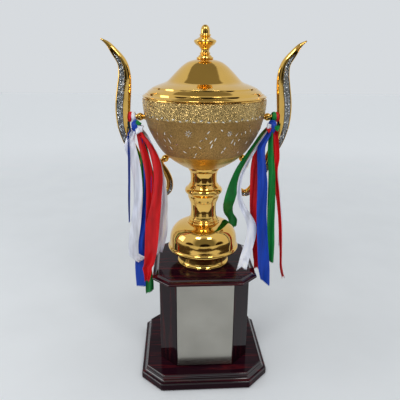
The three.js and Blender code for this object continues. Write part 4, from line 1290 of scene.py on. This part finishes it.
def bow_loop(name, centre, out, side, long, spread, wide, colour):
    """A loop of ribbon that leaves the knot and comes back to it, gathered at the knot."""
    out, side = Vector(out).normalized(), Vector(side).normalized()
    across = out.cross(side).normalized()
    grid, steps = [], 40
    for i in range(steps + 1):
        t = i / steps
        reach = math.sin(math.pi * t) ** 0.75
        middle = Vector(centre) + out * (long * reach) + side * (spread * math.sin(2 * math.pi * t))
        breadth = wide * (0.3 + 0.7 * reach)
        line = []
        for j in range(9):
            u = j / 4 - 1
            crease = 0.8 * math.cos(2.6 * u * math.pi + 2.4 * t)
            line.append(middle + across * (u * breadth / 2) + side * (crease * (1.2 - reach)))
        grid.append(line)
    made = strip(name, grid, colour, [], sizes().cloth)
    length = sum((a[4] - b[4]).length for a, b in zip(grid, grid[1:]))
    return made, length * MM, wide * MM


def knot_lump(centre, size, turns, seed):
    """A pulled-tight knot: a squashed lump with wound creases, in mm."""
    shape = bmesh.new()
    bmesh.ops.create_icosphere(shape, subdivisions=5, radius=1.0)
    for vertex in shape.verts:
        at = vertex.co.normalized()
        around = math.atan2(at.x, at.z)
        wound = math.sin(turns * around + 5 * at.y + 2.2 * math.sin(2 * at.z + seed))
        crease = math.sin(9 * at.y + 3 * math.sin(around * 2 + seed))
        soft = noise.noise(at * 2.1 + Vector((seed, 0, 0)))
        scale = 0.9 + 0.07 * wound + 0.05 * crease + 0.1 * soft
        vertex.co = Vector(centre) + Vector((at.x * size[0], at.y * size[1], at.z * size[2])) * scale
    points = [v.co.copy() for v in shape.verts]
    faces = [[v.index for v in f.verts] for f in shape.faces]
    shape.free()
    return points, faces


def band(centre, radii, tilt, wide, thick, creases, axis="X"):
    """A flat band wound round a place, creased along its run, in mm."""
    place = Matrix.Translation(centre) @ Matrix.Rotation(tilt, 4, axis)
    rings, around, across = [], 72, 22
    for i in range(around):
        a = 2 * math.pi * i / around
        ring = []
        for j in range(across):
            b = 2 * math.pi * j / across
            proud = thick * (math.sin(b) + 0.35 * math.cos(creases * b + 2 * math.sin(a)))
            aside = wide / 2 * math.cos(b) * (1 + 0.12 * math.sin(3 * a))
            spot = Vector((aside, (radii[0] + proud) * math.cos(a), (radii[1] + proud) * math.sin(a)))
            ring.append(place @ spot)
        rings.append(ring)
    return loft(rings, closed=True)


# Turns of ribbon round each post: colour, mm out from the knot's middle, mm wide, and lean.
WRAPS = {
    "left": [("white", 1.2, 7, 0.2), ("red", 6.6, 5, -0.15)],
    "right": [("green", 1.4, 8, 0.25), ("red", 6.8, 4.5, -0.1)],
}
# Loops round each knot: colour, the way it leaves (out, back, up), the way it opens, mm long, mm
# open, and mm wide.
LOOPS = {
    "left": [
        ("white", (1.0, -0.3, -0.3), (0.1, 1.0, 0.1), 13, 2.6, 11),
        ("green", (0.7, -0.1, 0.9), (0.1, 1.0, -0.1), 10, 2.2, 10),
        ("white", (0.5, -0.4, -1.0), (0.1, 1.0, 0.1), 12, 2.2, 10),
    ],
    "right": [
        ("red", (-0.9, -0.3, -0.6), (0.1, 1.0, 0.1), 12, 2.6, 10),
        ("green", (0.9, -0.2, -0.3), (0.1, 1.0, 0.1), 11, 2.6, 10),
        ("white", (-0.9, -0.3, 0.1), (0.1, 1.0, -0.1), 11, 2.2, 10),
    ],
}


class TROPHY_OT_ribbons(bpy.types.Operator):
    """Ties the knots and loops on both posts and hangs the fifteen tails."""

    bl_idname = "trophy.ribbons"
    bl_label = "Ribbons"

    def execute(self, context):
        draw = random.Random(11)
        for side, sign in SIDES.items():
            node = f"ribbon_knot_{side}"
            low, high = (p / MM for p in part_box(node))
            centre = Vector(((low.x + high.x) / 2, low.y + 7.5, low.z + 12))
            post = Vector((centre.x + 2.9 * sign, 0, high.z - 9.7))
            parts = [
                knot_lump(centre, (8.4, 7.0, 11.5), 3, 2.0 * sign),
                band(centre + Vector((0, 0, -1)), (6.6, 9.6), 0.3 * sign, 9, 0.9, 5, "Y"),
                band(centre + Vector((0, -0.6, 3)), (5.6, 6.6), 1.2, 7, 0.9, 5, "Z"),
            ]
            knot = piece(f"satin_knot_{side}", *gathered(parts), ["polyester_satin_blue"], "trophy",
                         "ribbon_blue", [node], sharp=70)
            for colour, along, wide, tilt in WRAPS[side]:
                spot = post + Vector((along * sign, 0, 0))
                piece(f"satin_wrap_{colour}_{side}", *band(spot, (7.0, 7.6), tilt * sign, wide, 0.9, 5, "Y"),
                      [f"polyester_satin_{colour}"], "trophy", f"ribbon_{colour}", sharp=70)
            for number, (colour, out, opens, long, spread, wide) in enumerate(LOOPS[side], 1):
                start = centre + Vector((0, -5.2, 1))
                loop, length, width = bow_loop(
                    f"satin_loop_{number}_{colour}_{side}", start, out, opens, long, spread, wide, colour
                )
            tails = [
                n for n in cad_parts
                if n.startswith("ribbon_") and n.endswith(side) and "knot" not in n
            ]
            for tail in sorted(tails):
                made, flat = build_tail(tail, centre, draw)
        return {"FINISHED"}


# ---- studio ----
# The softboxes: where each stands and its width, in metres, and its share of the key light's power.
SOFTBOXES = {
    "key_softbox": ((-0.45, -0.95, 1.45), 0.34, 1.0), "second_softbox": ((0.42, -0.95, 1.35), 0.3, 0.7),
    "side_softbox": ((-1.3, -0.1, 0.7), 0.5, 0.5),
}
AIM = Vector((0, 0, 0.3))  # the point that the softboxes face
CAMERA_PLACE = (-0.048, -0.733, 0.555)
CAMERA_SHIFT = -0.009
SENSOR = 36.0  # mm wide
FLOOR_REACH = 6.0  # metres from the middle to each side
# The cards on the floor: their left, right, near and far edges in metres.
CARDS = {
    "card_front": (-0.5, 0.6, -1.9, -0.74), "card_left": (-1.5, -0.52, -1.2, 0.25),
    "card_right": (0.56, 1.5, -1.2, 0.25),
}
# The room's dim zones: which way each lies, how near that way a ray is where the zone begins and
# where it is full, and its tone.
ZONES = [
    ((0.05, -0.97, 0.22), (0.7, 0.86), "#7E7F78"),  # the dim part of the room behind the camera
    ((0.04, -1.0, 0.0), (0.95, 0.965), "#1E1A16"),  # someone standing behind the camera
    ((-0.76, -0.64, 0.02), (0.955, 0.97), "#3A2E22"),  # wooden furniture at the left
    ((0.8, -0.6, 0.05), (0.965, 0.975), "#2E241A"),  # wooden furniture at the right
    ((-0.03, 0.13, 0.99), (0.872, 0.888), "#908E84"),  # the unlit ceiling
]


def board_on_floor(name, edges, height, material):
    """A flat board at this height, from its left, right, near and far edges in metres."""
    left, right, near, far = edges
    mesh = bpy.data.meshes.new(name)
    corners = [(left, near, height), (right, near, height), (right, far, height), (left, far, height)]
    mesh.from_pydata(corners, [], [[0, 1, 2, 3]])
    mesh.materials.append(material)
    return placed(name, mesh)


class TROPHY_OT_stage(bpy.types.Operator):
    """Lays the floor and the cards, sets the light and the room, and stands the camera in front."""

    bl_idname = "trophy.stage"
    bl_label = "Studio"

    def execute(self, context):
        scene, studio = context.scene, context.scene.trophy_studio
        self.floor(studio)
        self.flags()
        self.world(scene, studio)
        for name, (place, size, share) in SOFTBOXES.items():
            light = bpy.data.lights.new(name, "AREA")
            light.shape, light.size, light.energy = "SQUARE", size, studio.key * share
            lamp = placed(name, light)
            lamp.location = place
            lamp.rotation_mode = "QUATERNION"
            lamp.rotation_quaternion = (AIM - Vector(place)).to_track_quat("-Z", "Y")
        lens = bpy.data.cameras.new("front_camera")
        lens.lens, lens.sensor_width, lens.shift_x = studio.lens, SENSOR, CAMERA_SHIFT
        camera = placed("front_camera", lens)
        camera.location = CAMERA_PLACE
        level = math.cos(studio.pitch)
        ahead = Vector((
            math.sin(studio.heading) * level, math.cos(studio.heading) * level, -math.sin(studio.pitch),
        ))
        camera.rotation_mode = "QUATERNION"
        camera.rotation_quaternion = ahead.to_track_quat("-Z", "Y") @ Quaternion((0, 0, 1), studio.roll)
        scene.camera = camera
        scene.view_settings.view_transform = "Standard"
        return {"FINISHED"}

    def floor(self, studio):
        """A large pale floor of painted board, faintly mottled."""
        made, tree = new_material("painted_board")
        mottle = add_node(tree, "ShaderNodeTexNoise", {"Vector": place_of(tree), "Scale": 7.0, "Detail": 3.0})
        tone = add_node(
            tree, "ShaderNodeValToRGB", {"Fac": mottle.outputs["Fac"]},
            stops=[(0.3, tinted(studio.floor, 0.96)), (0.7, linear(studio.floor))],
        )
        # The board glows a little far off, where the softboxes don't reach it, to meet the pale room.
        place = add_node(tree, "ShaderNodeTexCoord").outputs["Object"]
        away = add_node(tree, "ShaderNodeVectorMath", {0: place}, operation="LENGTH")
        glow = add_node(
            tree, "ShaderNodeMapRange",
            {"Value": away.outputs["Value"], "From Min": 0.25, "From Max": 2.2, "To Min": 0.06, "To Max": 0.3},
        )
        surface(tree, {"Base Color": tone.outputs[0], "Roughness": 0.6, "Specular IOR Level": 0.2,
                       "Emission Color": linear(studio.wall), "Emission Strength": glow.outputs[0]})
        edges = (-FLOOR_REACH, FLOOR_REACH, -FLOOR_REACH, FLOOR_REACH)
        floor = board_on_floor("floor", edges, 0, made)

    def flags(self):
        """Lays dark brown cards in front and at both sides, hidden from the camera and from diffuse and
        shadow rays. Gloss mirrors them, which gives the bright pieces their dark, warm edges."""
        made, tree = new_material("brown_card")
        mottle = add_node(tree, "ShaderNodeTexNoise", {"Vector": place_of(tree), "Scale": 9.0})
        tone = add_node(
            tree, "ShaderNodeValToRGB", {"Fac": mottle.outputs["Fac"]},
            stops=[(0.3, linear("#2A1A10")), (0.7, linear("#3E2817"))],
        )
        surface(tree, {"Base Color": tone.outputs[0], "Roughness": 0.9})
        for name, edges in CARDS.items():
            card = board_on_floor(name, edges, MM, made)
            card.visible_camera = card.visible_diffuse = card.visible_shadow = False

    def world(self, scene, studio):
        """A pale room that is darker behind the camera and overhead, so that the metal has contrast."""
        world = bpy.data.worlds.new("pale_room")
        world.use_nodes = True
        scene.world = world
        tree = world.node_tree
        tree.nodes.clear()
        coords = add_node(tree, "ShaderNodeTexCoord")
        shade = linear(studio.wall)
        for aim, (near, far), grey in ZONES:
            toward = add_node(
                tree, "ShaderNodeVectorMath", {0: coords.outputs["Generated"], 1: aim},
                operation="DOT_PRODUCT"
            )
            zone = add_node(
                tree, "ShaderNodeMapRange",
                {"Value": toward.outputs["Value"], "From Min": near, "From Max": far}
            )
            mixed = add_node(
                tree, "ShaderNodeMix", {0: zone.outputs[0], 6: shade, 7: linear(grey)}, data_type="RGBA"
            )
            shade = mixed.outputs[2]
        # The camera sees a plain room from every side. Every other ray sees the dim zones.
        seen = add_node(tree, "ShaderNodeLightPath").outputs["Is Camera Ray"]
        plain = add_node(tree, "ShaderNodeMix", {0: seen, 6: shade, 7: linear(studio.wall)}, data_type="RGBA")
        room = add_node(tree, "ShaderNodeBackground", {"Color": plain.outputs[2], "Strength": studio.room})
        add_node(tree, "ShaderNodeOutputWorld", {"Surface": room.outputs[0]})


class TROPHY_PT_panel(bpy.types.Panel):
    """The trophy's sizes, colours and operators."""

    bl_idname = "TROPHY_PT_panel"
    bl_label = "Cup Trophy"
    bl_space_type = "VIEW_3D"
    bl_region_type = "UI"
    bl_category = "Trophy"

    def draw(self, context):
        scene = context.scene
        for group in (scene.trophy_sizes, scene.trophy_colours, scene.trophy_studio):
            box = self.layout.box()
            for key in group.bl_rna.properties.keys():
                if key not in ("rna_type", "name"):
                    box.prop(group, key)
        for operator in OPERATORS:
            self.layout.operator(operator.bl_idname)


GROUPS = {"trophy_sizes": TrophySizes, "trophy_colours": TrophyColours, "trophy_studio": TrophyStudio}
OPERATORS = [
    TROPHY_OT_bowl, TROPHY_OT_cuts, TROPHY_OT_lid, TROPHY_OT_stem, TROPHY_OT_handles, TROPHY_OT_plinth,
    TROPHY_OT_nameplate, TROPHY_OT_hardware, TROPHY_OT_ribbons, TROPHY_OT_stage,
]


def register():
    for item in [*GROUPS.values(), *OPERATORS, TROPHY_PT_panel]:
        bpy.utils.register_class(item)
    for name, group in GROUPS.items():
        setattr(bpy.types.Scene, name, PointerProperty(type=group))


def unregister():
    for name in GROUPS:
        delattr(bpy.types.Scene, name)
    for item in [TROPHY_PT_panel, *reversed(OPERATORS), *GROUPS.values()]:
        bpy.utils.unregister_class(item)


def main():
    """Builds the whole trophy and its studio."""
    register()
    for operator in OPERATORS:
        group, call = operator.bl_idname.split(".")
        getattr(getattr(bpy.ops, group), call)()


if __name__ == "__main__":
    main()
